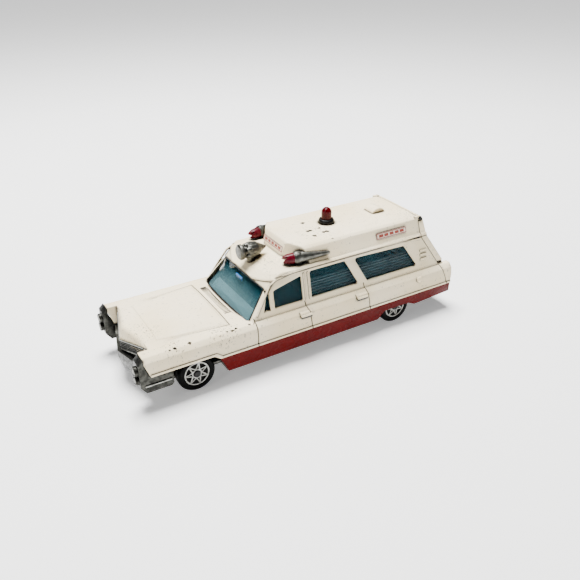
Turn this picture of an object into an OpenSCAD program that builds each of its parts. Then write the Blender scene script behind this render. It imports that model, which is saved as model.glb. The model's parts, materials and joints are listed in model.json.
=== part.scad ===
// Toy ambulance with a raised roof, rolling wheels and a lifting rear door.
// Millimetres. X points forward, Y to the left, Z up. The origin is on the ground,
// under the middle of the length.

/* [Overall] */
// Width over the doors
width = 50; // [46:0.5:55]
// Length over the headlamps and the rear bumper
length = 152; // [144:1:166]
// Headlamp fronts to the front axle
front_overhang = 23.8; // [22:0.1:26]
// Rear axle to the back of the rear bumper
rear_overhang = 30.8; // [28:0.1:34]

/* [Heights] */
// Lower edge of the sills above the ground
sill_z = 5.5; // [4.8:0.1:6.2]
// Upper edge of the red lower sides
paint_z = 13; // [12:0.1:14]
// Lower edge of the front fenders
skirt_z = 15; // [14.4:0.1:16]
// Height where the sides are widest
waist_z = 17.5; // [16.5:0.1:18.5]
// Height where the sides start to turn in
shoulder_z = 20.8; // [19.6:0.1:21.6]
// Fender crests
crest_z = 22.6; // [22:0.1:24]
// Rise of the hood above the crests
hood_crown = 0.8; // [0.4:0.1:1.5]
// Rain gutter
gutter_z = 38.8; // [36:0.1:42]
// Rise of the front roof above the gutter
roof_crown = 1.1; // [0.6:0.1:2]
// Rise of the raised roof above the front roof
cap_h = 6.5; // [5:0.1:8]

/* [Sides] */
// Sill set in from the widest line
sill_inset = 0.7; // [0.2:0.1:1.5]
// Paint line set in from the widest line
paint_inset = 0.3; // [0.1:0.1:1]
// Shoulder set in from the widest line
shoulder_inset = 0.5; // [0.2:0.1:1.2]
// Crest set in from the widest line
crest_inset = 2.2; // [1.5:0.1:2.8]
// Cabin side at the crest, set in from the widest line
cabin_inset = 3.1; // [2.9:0.1:4]
// Gutter set in from the widest line
gutter_inset = 6.4; // [5:0.1:8]
// Foot of the raised roof set in from the gutter
cap_foot_inset = 0.6; // [0.3:0.1:1.5]
// Lean of the sides of the raised roof
cap_lean = 2.4; // [1:0.1:4]
// Width of the sloped edge round the top of the raised roof
cap_edge = 1.3; // [0.6:0.1:2]
// Half width of the flat strip along the middle of hood and roof
crown_half = 9; // [6:0.5:11]
// Height of the trim strip along the sides
trim_h = 1; // [0.6:0.1:1.4]
// How far trim strip and gutter stand out
trim_out = 0.35; // [0.2:0.05:0.6]
// Height of the gutter
gutter_h = 0.8; // [0.5:0.1:1.2]
// Length of the door handles
handle_l = 5.6; // [4.5:0.1:6.5]
// Filler cap diameter
filler_d = 3; // [2.4:0.1:3.4]
// Filler cap centre ahead of the rear bumper
filler_in = 20; // [18:0.1:22]

/* [Shell and fits] */
// Thickness of the body casting
wall = 1.3; // [1:0.1:1.8]
// Thickness of the glazing
glass_t = 0.9; // [0.6:0.1:1.2]
// Gap between pieces fitted together
fit = 0.1; // [0.05:0.01:0.15]
// Radial gap round a turning piece
run_fit = 0.05; // [0.02:0.01:0.1]
// Gap round the rear door and between moving pieces
move_gap = 0.35; // [0.3:0.05:0.5]
// Width of the engraved shut lines
groove_w = 0.4; // [0.25:0.05:0.6]
// Depth of the engraved shut lines
groove_d = 0.35; // [0.2:0.05:0.6]
// Lean of the engraved door edges
door_rake = 2; // [1:0.1:3]

/* [Front end] */
// Fender front edge behind the headlamp fronts
fender_inset = 3; // [2.4:0.1:4]
// How far the fender front edge runs back towards its foot
fender_toe = 2; // [1:0.1:3]
// Hood tip behind the headlamp fronts
nose_inset = 1.8; // [1.2:0.1:3]
// How far the hood corners lie behind the hood tip
nose_v = 5.2; // [4:0.1:7]
// Half width of the pointed part of the hood
nose_half = 12.5; // [10:0.1:14]
// Length of the sloped hood front
nose_slope = 4.7; // [3:0.1:5.1]
// Height of the hood lip
lip_z = 18.5; // [17.5:0.1:19.5]
// Width of each fender in front of the hood
prong_w = 6.5; // [5.6:0.1:7.5]
// Front wheel cut-out behind the front axle, along its top
front_cut_top = 6.7; // [6:0.1:7.5]
// Front wheel cut-out behind the front axle, at the paint line
front_cut_mid = 9.3; // [8.6:0.1:10]
// Front wheel cut-out behind the front axle, along the sill
front_cut_foot = 12.7; // [11:0.1:14]
// Hood shut lines in from the widest line, at the front
hood_front_in = 9.7; // [8:0.1:12]
// Hood shut lines in from the widest line, at the screen
hood_rear_in = 6; // [5.5:0.1:7.5]
// Hood rear shut line ahead of the screen foot
hood_gap = 4.5; // [3:0.1:6]

/* [Cabin] */
// Headlamp fronts back to the foot of the windscreen
nose_to_screen = 45.1; // [42:0.1:48]
// Foot of the windscreen above the crests
screen_foot_h = 1; // [0.6:0.1:2]
// Backward lean of the windscreen over its height
screen_run = 10.6; // [8:0.1:13]
// Sideways curve radius of the windscreen
screen_r = 68; // [60:1:90]
// Windscreen top back to the raised roof
roof_run = 15; // [12:0.1:18]
// Rise of the front roof from the windscreen top
roof_rise = 4.9; // [3.5:0.1:6]
// Lean of the front of the raised roof
cap_rake = 1.4; // [0.6:0.1:4]
// Half width of the flat front of the raised roof
cap_front_half = 6.5; // [4:0.1:9]
// Length of the slanted front corners of the raised roof
cap_corner = 7.5; // [5:0.1:10]

/* [Windows] */
// Window sill above the crests
win_sill_h = 2.4; // [1.8:0.1:3]
// Window heads below the gutter
head_drop = 2.2; // [1.8:0.1:3]
// Front window head below the other heads
front_head = 0.8; // [0.4:0.1:1.2]
// Fall of the front window heads towards the windscreen
front_fall = 3; // [2.4:0.1:3.6]
// Corner radius of the windows
win_r = 0.9; // [0.4:0.1:1.3]
// Screen foot back to the front door edge
door_back = 4.7; // [4:0.1:6]
// Screen foot back to the pillar between the doors
b_pillar_back = 29.9; // [28:0.1:32]
// Width of the pillar between the doors
b_pillar_w = 4; // [3:0.1:5]
// Second side pillar from the first one, of the way to the rear pillar
c_pillar_share = 0.483; // [0.46:0.001:0.5]
// Width of the slanted pillar
c_pillar_w = 4.6; // [3.6:0.1:5.6]
// Forward lean of the slanted pillar over the window height
c_pillar_lean = 6.2; // [5:0.1:9]
// Width of the rear pillar
d_pillar_w = 11; // [9:0.1:13]
// Screen foot back to the front corner of the small vent window
vent_back = 9.3; // [8.6:0.1:10]
// Length of the small vent window along the sill
vent_len = 3.2; // [2.4:0.1:3.6]
// Top front corner of the small vent window behind its lower one
vent_tip = 2.2; // [1:0.1:2.3]
// Width of the bar behind the small vent window
vent_bar = 1.9; // [1.4:0.1:2.4]
// Frame left round the windscreen
screen_frame = 1.7; // [1.2:0.1:2.4]

/* [Rear end] */
// Rear door seam on the roof, ahead of the rear bumper
seam_top_in = 16; // [14:0.1:18]
// Rear door seam at the belt, ahead of the rear bumper
seam_foot_in = 6.3; // [5.6:0.1:7]
// Seam knee below the gutter
seam_knee_drop = 1.3; // [0.8:0.1:2.5]
// Depth of the rear door along the length
door_depth = 3.6; // [3.4:0.1:4.4]
// Depth of the rear door at the roof
door_top_depth = 2.8; // [2.4:0.1:3.4]
// Thickness of the rear door skin along the length
door_skin = 1.8; // [1.4:0.1:2.2]
// Lower edge of the rear door
door_foot_z = 14; // [13.5:0.1:15]
// Side rim of the rear door
door_rim = 1.8; // [1.3:0.1:2.4]
// Rear window sill above the crests
rear_sill_h = 4; // [3:0.1:5.5]
// Rear window sides in from the foot of the raised roof
rear_win_in = 3; // [2.4:0.1:6]
// Overlap of the rear pane round its opening
pane_lap = 0.8; // [0.5:0.1:1]
// Width of the tail fins
fin_w = 4.3; // [4:0.1:5]
// Fin ends ahead of the rear bumper
fin_inset = 0.4; // [0.2:0.1:1]
// Rear panel ahead of the rear bumper
rear_panel_in = 3.5; // [3:0.1:4]
// Lower edge of the tail
tail_z = 8.4; // [7.5:0.1:9]
// Opening of the rear wheel arch, ahead of the axle along the sill
arch_front = 11; // [10:0.1:12]
// Opening of the rear wheel arch, ahead of the axle along its top
arch_top_front = 7.4; // [6:0.1:8.5]
// Opening of the rear wheel arch, behind the axle along its top
arch_top_rear = 6; // [5:0.1:7]
// Opening of the rear wheel arch, behind the axle along the sill
arch_rear = 9.8; // [9:0.1:11]
// Top of the rear wheel arch
arch_z = 9; // [8:0.1:10.5]
// Hinge pin of the rear door behind the seam
hinge_back = 1.35; // [1.3:0.05:1.5]
// Hinge pin of the rear door below the roof top
hinge_drop = 1.15; // [1.1:0.05:1.5]
// Hinge pin diameter
pin_d = 0.9; // [0.7:0.05:1]
// Hinge barrel diameter
barrel_d = 1.9; // [1.8:0.05:2]
// Width of each hinge lug on the roof
lug_w = 1.3; // [1:0.1:1.6]
// Head of the hinge pin
pin_head = 0.5; // [0.3:0.1:0.8]
// Diameter of the hinge pin heads
pin_head_d = 1.5; // [1.2:0.05:1.8]

/* [Wheels] */
// Tyre diameter
tyre_d = 15.6; // [15:0.1:16.2]
// Tyre width
tyre_w = 5; // [4:0.1:5.6]
// Wheel face set in from the widest line
wheel_inset = 2.3; // [2.2:0.05:3]
// Diameter of the silver wheel face
face_d = 10.5; // [9:0.1:11.5]
// Depth of the wheel face recess
face_recess = 0.7; // [0.5:0.1:1]
// Thickness of the silver wheel face
face_t = 0.5; // [0.3:0.1:0.6]
// Width of the rim ring on the wheel face
ring_w = 0.55; // [0.4:0.05:0.8]
// Width of the spokes on the wheel face
spoke_w = 0.5; // [0.35:0.05:0.7]
// Diameter over the corners of the hub ring on the wheel face
hub_ring_d = 4.6; // [4.2:0.1:5.2]
// Spread of the two spokes from each hub corner, in degrees
spoke_spread = 17; // [12:1:22]
// Edge bevel of the tyres
tyre_bevel = 0.8; // [0.4:0.1:1.2]
// Axle diameter
axle_d = 1.6; // [1.2:0.1:1.8]
// Diameter of the axle heads
axle_head_d = 2.4; // [2.2:0.1:2.8]
// Thickness of the axle heads
axle_head_t = 0.4; // [0.3:0.1:0.5]

/* [Base plate] */
// Underside of the base plate above the ground
base_z = 5; // [4.6:0.1:5.4]
// Thickness of the base plate
base_t = 1.2; // [0.9:0.1:1.5]
// Space left round the wheels
wheel_space = 1.4; // [1:0.1:2]
// Thickness of the axle brackets
bracket_t = 2; // [1.5:0.1:3]
// Length of the axle brackets
bracket_l = 5; // [4:0.1:7]
// Material above the axle in the brackets
bracket_top = 1.2; // [0.8:0.1:1.6]
// Diameter of the screw posts in the body
post_d = 3.6; // [3.2:0.1:4.4]
// Screw diameter
screw_d = 1.6; // [1.2:0.1:2]
// Screw head diameter
screw_head_d = 3; // [2.4:0.1:3.4]
// Screw head thickness
screw_head_t = 0.7; // [0.5:0.1:0.9]
// Gap between the screw points and the floor of the interior
screw_clear = 0.8; // [0.5:0.1:1.4]
// Front screw behind the front axle
front_screw_back = 13.8; // [12.5:0.1:15]
// Rear screws in from the edge of the base plate
rear_screw_in = 4.9; // [3:0.1:7]

/* [Interior] */
// Underside of the cabin floor above the axle brackets
floor_gap = 1; // [0.5:0.1:1.5]
// Thickness of the interior walls
tray_t = 1; // [0.8:0.1:1.2]
// Gap between the interior and the wheels
tray_gap = 0.8; // [0.5:0.1:1.5]
// Rim of the interior below the crests
rim_drop = 1; // [0.8:0.1:1.6]
// Length of the dashboard
dash_l = 4.5; // [3.5:0.1:6]
// Height of the dashboard above the crests
dash_h = 1.4; // [0.8:0.1:1.8]
// Height of the slatted window panels above the sill
blind_h = 6.4; // [5:0.1:8]
// Thickness of the slatted window panels
blind_t = 0.8; // [0.6:0.1:1]
// Distance between the slats
slat_pitch = 1.2; // [1:0.1:1.6]
// Gap between the slats
slat_gap = 0.5; // [0.3:0.05:0.7]
// Front seat cushion length
seat_l = 14; // [11:0.5:16]
// Front seat cushion height
seat_h = 5; // [4:0.1:6]
// Gap between the front seat and the walls of the interior
seat_gap = 1.9; // [1:0.1:3]
// Thickness of the seat backs
seat_back_t = 2.6; // [2:0.1:3.2]
// Radius of the rounded seat backs
seat_back_r = 5; // [4:0.1:5.6]
// Height of the seat back centre above the floor
seat_back_h = 12; // [10:0.1:13]
// Rear of the front seat behind the pillar between the doors
seat_back_x = 10.5; // [9:0.1:12]
// Steering wheel diameter
steer_d = 7.6; // [6:0.1:8.4]
// Steering wheel rim thickness
steer_rim = 0.9; // [0.7:0.1:1.2]
// Steering wheel centre left of the middle
steer_y = 9; // [8:0.1:10]
// Steering wheel centre behind the screen foot
steer_back = 12.2; // [11.6:0.1:13]
// Steering wheel centre above the crests
steer_h = 2.2; // [2:0.1:3]
// Lean of the steering column, in degrees
steer_lean = 38; // [30:1:45]
// Steering column diameter
column_d = 1.2; // [0.9:0.1:1.5]
// Width of the mirror
mirror_w = 7; // [5:0.1:9]
// Height of the mirror
mirror_h = 2.4; // [1.8:0.1:3]

/* [Stretcher] */
// Gap between the stretcher, slid forward, and the front seat
bed_clear = 6.55; // [4:0.05:9]
// Stretcher width
bed_w = 13; // [11:0.5:15]
// Height of the stretcher frame
bed_h = 3; // [2.4:0.1:4]
// Thickness of the stretcher frame
bed_t = 1; // [0.8:0.1:1.3]
// Thickness of the mattress
pad_t = 1.6; // [1.2:0.1:2.2]
// Length of the pillow
pillow_l = 7; // [5:0.5:9]
// Forward travel of the stretcher in the cabin
bed_travel = 10; // [8:0.5:11]
// Height of the guide strips on the floor
guide_h = 1.2; // [0.8:0.1:1.6]

/* [Roof fittings] */
// Beacon centre behind the front of the raised roof
beacon_back = 27; // [24:0.5:30]
// Beacon base diameter
beacon_base_d = 7.1; // [6:0.1:8.5]
// Beacon base height
beacon_base_h = 1.9; // [1.4:0.1:2.6]
// Beacon dome diameter
dome_d = 4.5; // [4:0.1:5.2]
// Beacon dome height
dome_h = 5.2; // [4.6:0.1:6.5]
// Thickness of the beacon dome
dome_t = 0.8; // [0.6:0.1:1]
// Siren diameter over its mouth ring
siren_d = 6.6; // [5.6:0.1:7.2]
// Siren length
siren_l = 11; // [9:0.5:12]
// Siren mouth behind the windscreen top
siren_front = -1; // [-2:0.1:1]
// Siren centre above the gutter
siren_up = 3.8; // [3.5:0.1:4.4]
// Width of the siren foot
siren_foot = 3; // [2.4:0.1:4]
// Roof lamp diameter
lamp_d = 5.4; // [5:0.1:5.8]
// Roof lamp length with its nose
lamp_l = 21.5; // [20:0.5:23]
// Length of the red nose of a roof lamp
lamp_nose = 6; // [5:0.1:7]
// Depth of the notches between the points of the red nose
nose_notch = 3; // [2:0.1:4]
// Roof lamp nose set in from the widest line
lamp_inset = 11.1; // [10.5:0.1:11.5]
// Roof lamp centre above the gutter
lamp_up = 3.3; // [3.2:0.1:4]
// Roof lamp nose ahead of the foot of the raised roof
lamp_ahead = 4.3; // [4:0.1:6]
// Outward turn of the roof lamp tails, in degrees
lamp_splay = 11; // [10:0.5:13]
// Peg diameter of the roof fittings
peg_d = 1.6; // [1.2:0.1:2]
// Roof scoop length
scoop_l = 7.5; // [6:0.1:9]
// Roof scoop width
scoop_w = 6.5; // [5:0.1:8]
// Roof scoop height
scoop_h = 1.2; // [0.8:0.1:1.8]
// Roof scoop centre ahead of the rear door seam
scoop_in = 12.3; // [10:0.1:18]

/* [Bumpers and lamps] */
// Lowest edge of the front bumper
bumper_low = 5; // [4.6:0.1:5.6]
// Lower edge of the bumper on the sides
bumper_side_z = 8; // [7:0.1:9]
// Lower corner of the lamp towers above the lower edge of the sides
tower_rise = 3; // [2:0.1:3.4]
// Lower edge of the grille
grille_z = 14; // [13:0.1:15]
// How far the bumper tip stands ahead of the hood tip
bumper_out = 1.6; // [0.6:0.1:1.7]
// Gap between the sides of the bumper and the front wheels
bumper_gap = 2.2; // [1.6:0.1:4]
// Length of the bumper tongue over the base plate
tongue_l = 6.9; // [5:0.1:8]
// Set-in of the bumper from the widest line
bumper_inset = 0.7; // [0.4:0.1:1.2]
// Depth of the grille block
grille_t = 3; // [2:0.1:4]
// Headlamp diameter
headlamp_d = 3.7; // [3:0.1:4]
// Headlamp centres in from the widest line
headlamp_inset = 3; // [2.6:0.1:3.6]
// Centre of the upper headlamps
headlamp_z = 17.3; // [16.6:0.1:18]
// Distance between upper and lower headlamps
headlamp_pitch = 3.8; // [3.7:0.1:4.2]
// Height of the bumper and grille ribs
rib_h = 0.5; // [0.3:0.05:0.7]
// How far the ribs stand out
rib_out = 0.3; // [0.2:0.05:0.5]
// Height of the rear bumper
rear_bumper_h = 4.3; // [3:0.1:4.8]
// Length of the bumper pegs
bumper_peg = 2.2; // [1.5:0.1:2.8]
// Height of the tail lamps
tail_lamp_h = 5.6; // [4:0.1:6]
// Width of the tail lamps
tail_lamp_w = 2; // [1.4:0.1:2.4]
// Depth of the tail lamps in the fins
tail_lamp_t = 1.2; // [0.8:0.1:1.6]

/* [Hidden] */
$fn = 48;
// Overrun of a cut past the face that it cuts
over = 1;
// Front roof outline from the windscreen top to the raised roof
roof_front_shares = [[0, 0], [0.12, 0.32], [0.3, 0.6], [0.6, 0.86], [1, 1]];
// Gutter from its front end to the seam, along and up
gutter_shares = [[0, 0], [0.06, 0.52], [0.14, 0.82], [0.24, 1], [0.6, 1], [0.85, 0.84], [1, 0.5]];
// Fall of the raised roof from its middle to its sloped edge
edge_share = 0.33;
// Bracket place across the base plate
bracket_share = 0.75;
// Heights of the grille ribs
rib_shares = [0.16, 0.46, 0.76];
// Width of the lowest part of the front bumper
low_share = 0.4;
// Depth of the lamp towers ahead of the fenders
tower_share = 0.7;
// Place of the mirror up the windscreen
mirror_share = 0.62;
// Dashboard front behind the screen foot
dash_share = 0.8;
// Siren outline, along and out
siren_shares = [[0, 0], [0, 0.8], [0.05, 1], [0.14, 1], [0.2, 0.72], [0.3, 0.7], [0.36, 0.96],
    [0.5, 1], [0.74, 0.9], [0.9, 0.62], [1, 0.25], [1, 0]];
// Roof lamp outline, along and out
lamp_shares = [[0, 0], [0, 0.96], [0.04, 1], [0.12, 0.96], [0.25, 0.7], [0.26, 0.48], [0.96, 0.28],
    [1, 0.18], [1, 0]];
// Roof lamp nose outline, along and out
nose_shares = [[0, 0], [0, 0.42], [0.5, 0.74], [1, 0.86], [1, 0]];
// Places and sizes that follow from those above
nose_x = length / 2;
tail_x = -length / 2;
side_y = width / 2;
axle_r = axle_d / 2;
axle_z = tyre_d / 2;
front_x = nose_x - front_overhang;
rear_x = rear_overhang - nose_x;
hood_z = crest_z + hood_crown;
roof_z = gutter_z + roof_crown;
top_z = roof_z + cap_h;
screen_x = nose_x - nose_to_screen;
screen_z = crest_z + screen_foot_h;
screen_top_x = screen_x - screen_run;
screen_top_z = roof_z - roof_rise;
screen_tilt = atan2(screen_top_z - screen_z, screen_run);
screen_len = norm([screen_run, screen_top_z - screen_z]);
cap_x = screen_top_x - roof_run;
cabin_y = side_y - cabin_inset;
gutter_y = side_y - gutter_inset;
cap_y = gutter_y - cap_foot_inset;
cap_top_y = cap_y - cap_lean;
rear_win_half = cap_y - rear_win_in;
seam_top_x = tail_x + seam_top_in;
seam_foot_x = tail_x + seam_foot_in;
knee_z = gutter_z - seam_knee_drop;
seam_lean = (seam_top_x - seam_foot_x) / (knee_z - crest_z);
fin_y = side_y - fin_w;
fin_x = tail_x + fin_inset;
panel_x = tail_x + rear_panel_in;
prong_y = side_y - prong_w;
hood_front_y = side_y - hood_front_in;
hood_rear_y = side_y - hood_rear_in;
nose_tip_x = nose_x - nose_inset;
nose_back_x = nose_tip_x - nose_v;
fender_x = nose_x - fender_inset;
win_sill_z = crest_z + win_sill_h;
head_z = gutter_z - head_drop;
front_head_z = head_z - front_head;
door_x = screen_x - door_back;
b_x = screen_x - b_pillar_back;
d_foot_x = seam_foot_x + d_pillar_w + win_sill_h * seam_lean;
c_x = b_x - (b_x - d_foot_x) * c_pillar_share;
wheel_y = side_y - wheel_inset;
hub_y = wheel_y - face_recess;
base_top = base_z + base_t;
bracket_z = axle_z + axle_r + bracket_top;
floor_z = bracket_z + floor_gap;
floor_top = floor_z + tray_t;
screw_l = floor_z - screw_clear - base_top;
tray_y = wheel_y - tyre_w - tray_gap;
seat_half = tray_y - tray_t - seat_gap;
rear_screw_y = tray_y - rear_screw_in;
rim_z = crest_z - rim_drop;
pane_in = wall + fit;
pane_back = pane_in + glass_t;
blind_in = pane_back + fit;
hinge_x = seam_top_x - hinge_back;
hinge_z = top_z - hinge_drop;
lug_y = cap_top_y - lug_w;
bed_x = seam_foot_x + wall + move_gap;
seat_x = b_x - seat_back_x;
bed_l = seat_x - bed_clear - bed_travel - bed_x;
screw_x = front_x - front_screw_back;
screw_rear_x = seam_foot_x + wall / 2 + post_d / 2;
beacon_x = cap_x - beacon_back;
lamp_y = side_y - lamp_inset;
lamp_z = gutter_z + lamp_up;
lamp_x = cap_x + lamp_ahead;
siren_x = screen_top_x - siren_front;
siren_z = gutter_z + siren_up;

// Outline helpers

function mirrored(half) = concat(half, [for (i = [len(half) - 1 : -1 : 0]) [-half[i][0], half[i][1]]]);

function unit(v) = v / norm(v);

// Arc that rounds the corner q between its neighbours p and r
function corner(p, q, r, rad) =
    let (a = unit(p - q), b = unit(r - q), half = acos(a * b) / 2)
    let (c = q + unit(a + b) * rad / sin(half))
    let (s = q + a * rad / tan(half) - c, e = q + b * rad / tan(half) - c)
    let (from = atan2(s[1], s[0]), turn = atan2(s[0] * e[1] - s[1] * e[0], s * e))
    [for (k = [0 : 4]) c + rad * [cos(from + turn * k / 4), sin(from + turn * k / 4)]];

function rounded(pts, rad) =
    let (n = len(pts))
    [for (i = [0 : n - 1]) each corner(pts[(i + n - 1) % n], pts[i], pts[(i + 1) % n], rad)];

// Side view outline drawn across the width w
module across(w, pts)
    rotate([90, 0, 0])
        linear_extrude(height = w, center = true)
            polygon(pts);

// Cross-section outline drawn from x0 forward to x1
module along(x0, x1, pts)
    translate([x0, 0, 0])
        rotate([90, 0, 90])
            linear_extrude(height = x1 - x0)
                polygon(pts);

// Plan outline drawn from z0 up to z1
module upward(z0, z1, pts)
    translate([0, 0, z0])
        linear_extrude(height = z1 - z0)
            polygon(pts);

// Box between two corners
module block(low, high)
    translate(low)
        cube(high - low);

// The same shape on the left and on the right
module both_sides() {
    children();
    mirror([0, 1, 0])
        children();
}

// Cross-section of the lower body, set in by i
function lower_half(i, foot) = [
    [side_y - sill_inset - i, foot],
    [side_y - sill_inset - i, sill_z],
    [side_y - paint_inset - i, paint_z],
    [side_y - i, waist_z],
    [side_y - shoulder_inset - i, shoulder_z - i / 2],
    [side_y - crest_inset - i, crest_z - i],
    [crown_half, hood_z - i]];

// Half width of the cabin at height z
function cabin_at(z) = cabin_y - (cabin_y - gutter_y) * (z - crest_z) / (gutter_z - crest_z);

// Cross-section of the cabin, set in by i, down to the height foot
function cabin_half(i, foot) = [
    [cabin_at(foot) - i, foot],
    [gutter_y - i, gutter_z - max(i, 0) / 2],
    [gutter_y - roof_crown - i, (gutter_z + roof_z) / 2 - i],
    [crown_half, roof_z - i]];

// Slope of the front roof behind the windscreen
roof_slope = roof_rise * roof_front_shares[1][1] / (roof_run * roof_front_shares[1][0]);

// Side view of the cabin, its roof set in by i, down to foot and back past the seam
function cabin_side(i, foot, past) = concat(
    [
        [screen_x + over + (screen_z - foot) / tan(screen_tilt), foot],
        [screen_top_x + over, screen_top_z - over * roof_slope - i]],
    [for (k = [1 : len(roof_front_shares) - 1])
        [
            screen_top_x - roof_run * roof_front_shares[k][0],
            screen_top_z + roof_rise * roof_front_shares[k][1] - i]],
    [
        [seam_top_x - past, roof_z - i],
        [seam_top_x - past, knee_z],
        [seam_foot_x - past, crest_z],
        [seam_foot_x - past, foot]]);

// Round bar whose front line is the middle of the windscreen, set in by i
module screen_barrel(i)
    translate([screen_x, 0, screen_z])
        rotate([0, screen_tilt - 90, 0])
            translate([-screen_r, 0, 0])
                cylinder(r = screen_r - i, h = 2 * length, center = true, $fn = 96);

// Cabin without the raised roof, set in by i, down to foot and back past the seam
module cabin(i, foot, past = 0)
    intersection() {
        along(tail_x, nose_x, mirrored(cabin_half(i, foot)));
        across(width, cabin_side(i, foot, past));
        screen_barrel(i);
    }

// Cross-section of the raised roof, set in by i
function cap_half(i, foot) = [
    [cap_y - i, foot],
    [cap_y - i, gutter_z],
    [cap_top_y - i, top_z - cap_edge - i / 2],
    [cap_top_y - cap_edge - i, top_z - i / 2 - cap_edge * edge_share],
    [crown_half - i, top_z - i]];

// Plan of the raised roof, set in by i, back to the x value rear
function cap_plan(i, rear) = [
    [rear, side_y],
    [cap_x - cap_corner - i, cap_y],
    [cap_x - i, cap_front_half],
    [cap_x - i, -cap_front_half],
    [cap_x - cap_corner - i, -cap_y],
    [rear, -side_y]];

module cap(i, rear, foot)
    intersection() {
        along(tail_x, nose_x, mirrored(cap_half(i, foot)));
        upward(foot, top_z + over, cap_plan(i, rear));
        across(width, [
            [rear, foot],
            [cap_x - i, foot],
            [cap_x - i, roof_z],
            [cap_x - cap_rake - i, top_z - cap_edge / 2],
            [cap_x - cap_rake - cap_edge - i, top_z + over],
            [rear, top_z + over]]);
    }

// Side view of the lower body between the lamp bezels and the fin ends
lower_side = [
    [fender_x, hood_z + over],
    [fender_x, crest_z - fender_toe],
    [fender_x - fender_toe, skirt_z],
    [front_x - front_cut_top, skirt_z],
    [front_x - front_cut_mid, paint_z],
    [front_x - front_cut_foot, sill_z],
    [rear_x + arch_front, sill_z],
    [rear_x + arch_top_front, arch_z],
    [rear_x - arch_top_rear, arch_z],
    [rear_x - arch_rear, (sill_z + arch_z) / 2],
    [fin_x, tail_z],
    [fin_x, hood_z + over]];

// Plan of the pointed hood lip
lip_plan = [
    [nose_back_x, nose_half],
    [nose_tip_x, 0],
    [nose_back_x, -nose_half]];

module lower_body()
    intersection() {
        along(tail_x, nose_x, mirrored(lower_half(0, sill_z)));
        across(width + over, lower_side);
    }

// Trim strip that follows the top of the red paint and the fender edge
module trim_strip()
    intersection() {
        along(tail_x, nose_x, mirrored(lower_half(-trim_out, sill_z)));
        across(width + over, [
            [fender_x - fender_toe, skirt_z],
            [fender_x - fender_toe, skirt_z + trim_h],
            [front_x - front_cut_top - trim_h, skirt_z + trim_h],
            [front_x - front_cut_mid - trim_h, paint_z + trim_h],
            [fin_x, paint_z + trim_h],
            [fin_x, paint_z],
            [front_x - front_cut_mid, paint_z],
            [front_x - front_cut_top, skirt_z]]);
    }

module gutter()
    intersection() {
        along(tail_x, nose_x, mirrored(cabin_half(-trim_out, crest_z)));
        screen_barrel(-trim_out);
        across(width, concat(
            [for (s = gutter_shares) gutter_point(s, -gutter_h / 2)],
            [for (k = [len(gutter_shares) - 1 : -1 : 0]) gutter_point(gutter_shares[k], gutter_h / 2)]));
    }

function gutter_point(s, up) = [
    screen_top_x + (seam_top_x - screen_top_x) * s[0],
    screen_top_z + (gutter_z - screen_top_z) * s[1] + up];

// Side windows, front to back
vent_window = [
    [screen_x - vent_back, win_sill_z],
    [screen_x - vent_back - vent_len, win_sill_z],
    [screen_x - vent_back - vent_len, front_head_z - front_fall],
    [screen_x - vent_back - vent_tip, front_head_z - front_fall]];
front_window = [
    [screen_x - vent_back - vent_len - vent_bar, win_sill_z],
    [b_x + b_pillar_w / 2, win_sill_z],
    [b_x + b_pillar_w / 2, front_head_z],
    [screen_x - vent_back - vent_len - vent_bar, front_head_z - front_fall]];
middle_window = [
    [b_x - b_pillar_w / 2, win_sill_z],
    [c_x + c_pillar_w / 2, win_sill_z],
    [c_x + c_pillar_w / 2 + c_pillar_lean, head_z],
    [b_x - b_pillar_w / 2, head_z]];
rear_window = [
    [c_x - c_pillar_w / 2, win_sill_z],
    [d_foot_x, win_sill_z],
    [d_foot_x + (front_head_z - win_sill_z) * seam_lean, front_head_z],
    [c_x - c_pillar_w / 2 + c_pillar_lean, head_z]];

module window_cuts() {
    across(width, vent_window);
    for (w = [front_window, middle_window, rear_window])
        across(width, rounded(w, win_r));
    translate([screen_x, 0, screen_z])
        rotate([0, screen_tilt, 0])
            rotate([0, 0, 90])
                screen_cut();
}

// Windscreen opening, cut square to the glass
module screen_cut()
    translate([0, 0, -screen_r / 4])
        linear_extrude(height = screen_r / 2)
            polygon(rounded([
                [-(gutter_y - screen_frame), screen_len - screen_frame / 4],
                [-(cabin_y - screen_frame), screen_frame / 2],
                [cabin_y - screen_frame, screen_frame / 2],
                [gutter_y - screen_frame, screen_len - screen_frame / 4]], win_r));

// Thin slab at a place and lean on the sides, from foot to head
module shut_line(x, lean, foot, head)
    across(width + over, [
        [x - groove_w / 2, foot],
        [x + groove_w / 2, foot],
        [x + groove_w / 2 + lean, head],
        [x - groove_w / 2 + lean, head]]);

module side_grooves()
    difference() {
        union() {
            shut_line(door_x, 0, paint_z, screen_z);
            shut_line(b_x - groove_w, door_rake, paint_z, win_sill_z);
            shut_line(c_x - door_rake, door_rake, paint_z, win_sill_z);
            shut_line(fin_x + fin_w / 2, fin_w, paint_z, crest_z + over);
        }
        along(tail_x, nose_x, mirrored(lower_half(groove_d, sill_z)));
    }

// Engraved hood outline
module hood_grooves() {
    x0 = screen_x + hood_gap;
    difference() {
        upward(crest_z, hood_z + over, [
            [x0, hood_rear_y],
            [nose_back_x, hood_front_y],
            [nose_back_x, -hood_front_y],
            [x0, -hood_rear_y]]);
        upward(0, hood_z + 2 * over, [
            [x0 + groove_w, hood_rear_y - groove_w],
            [nose_x, hood_front_y - groove_w],
            [nose_x, -hood_front_y + groove_w],
            [x0 + groove_w, -hood_rear_y + groove_w]]);
        along(tail_x, nose_x, mirrored(lower_half(groove_d, sill_z)));
    }
}

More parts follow.
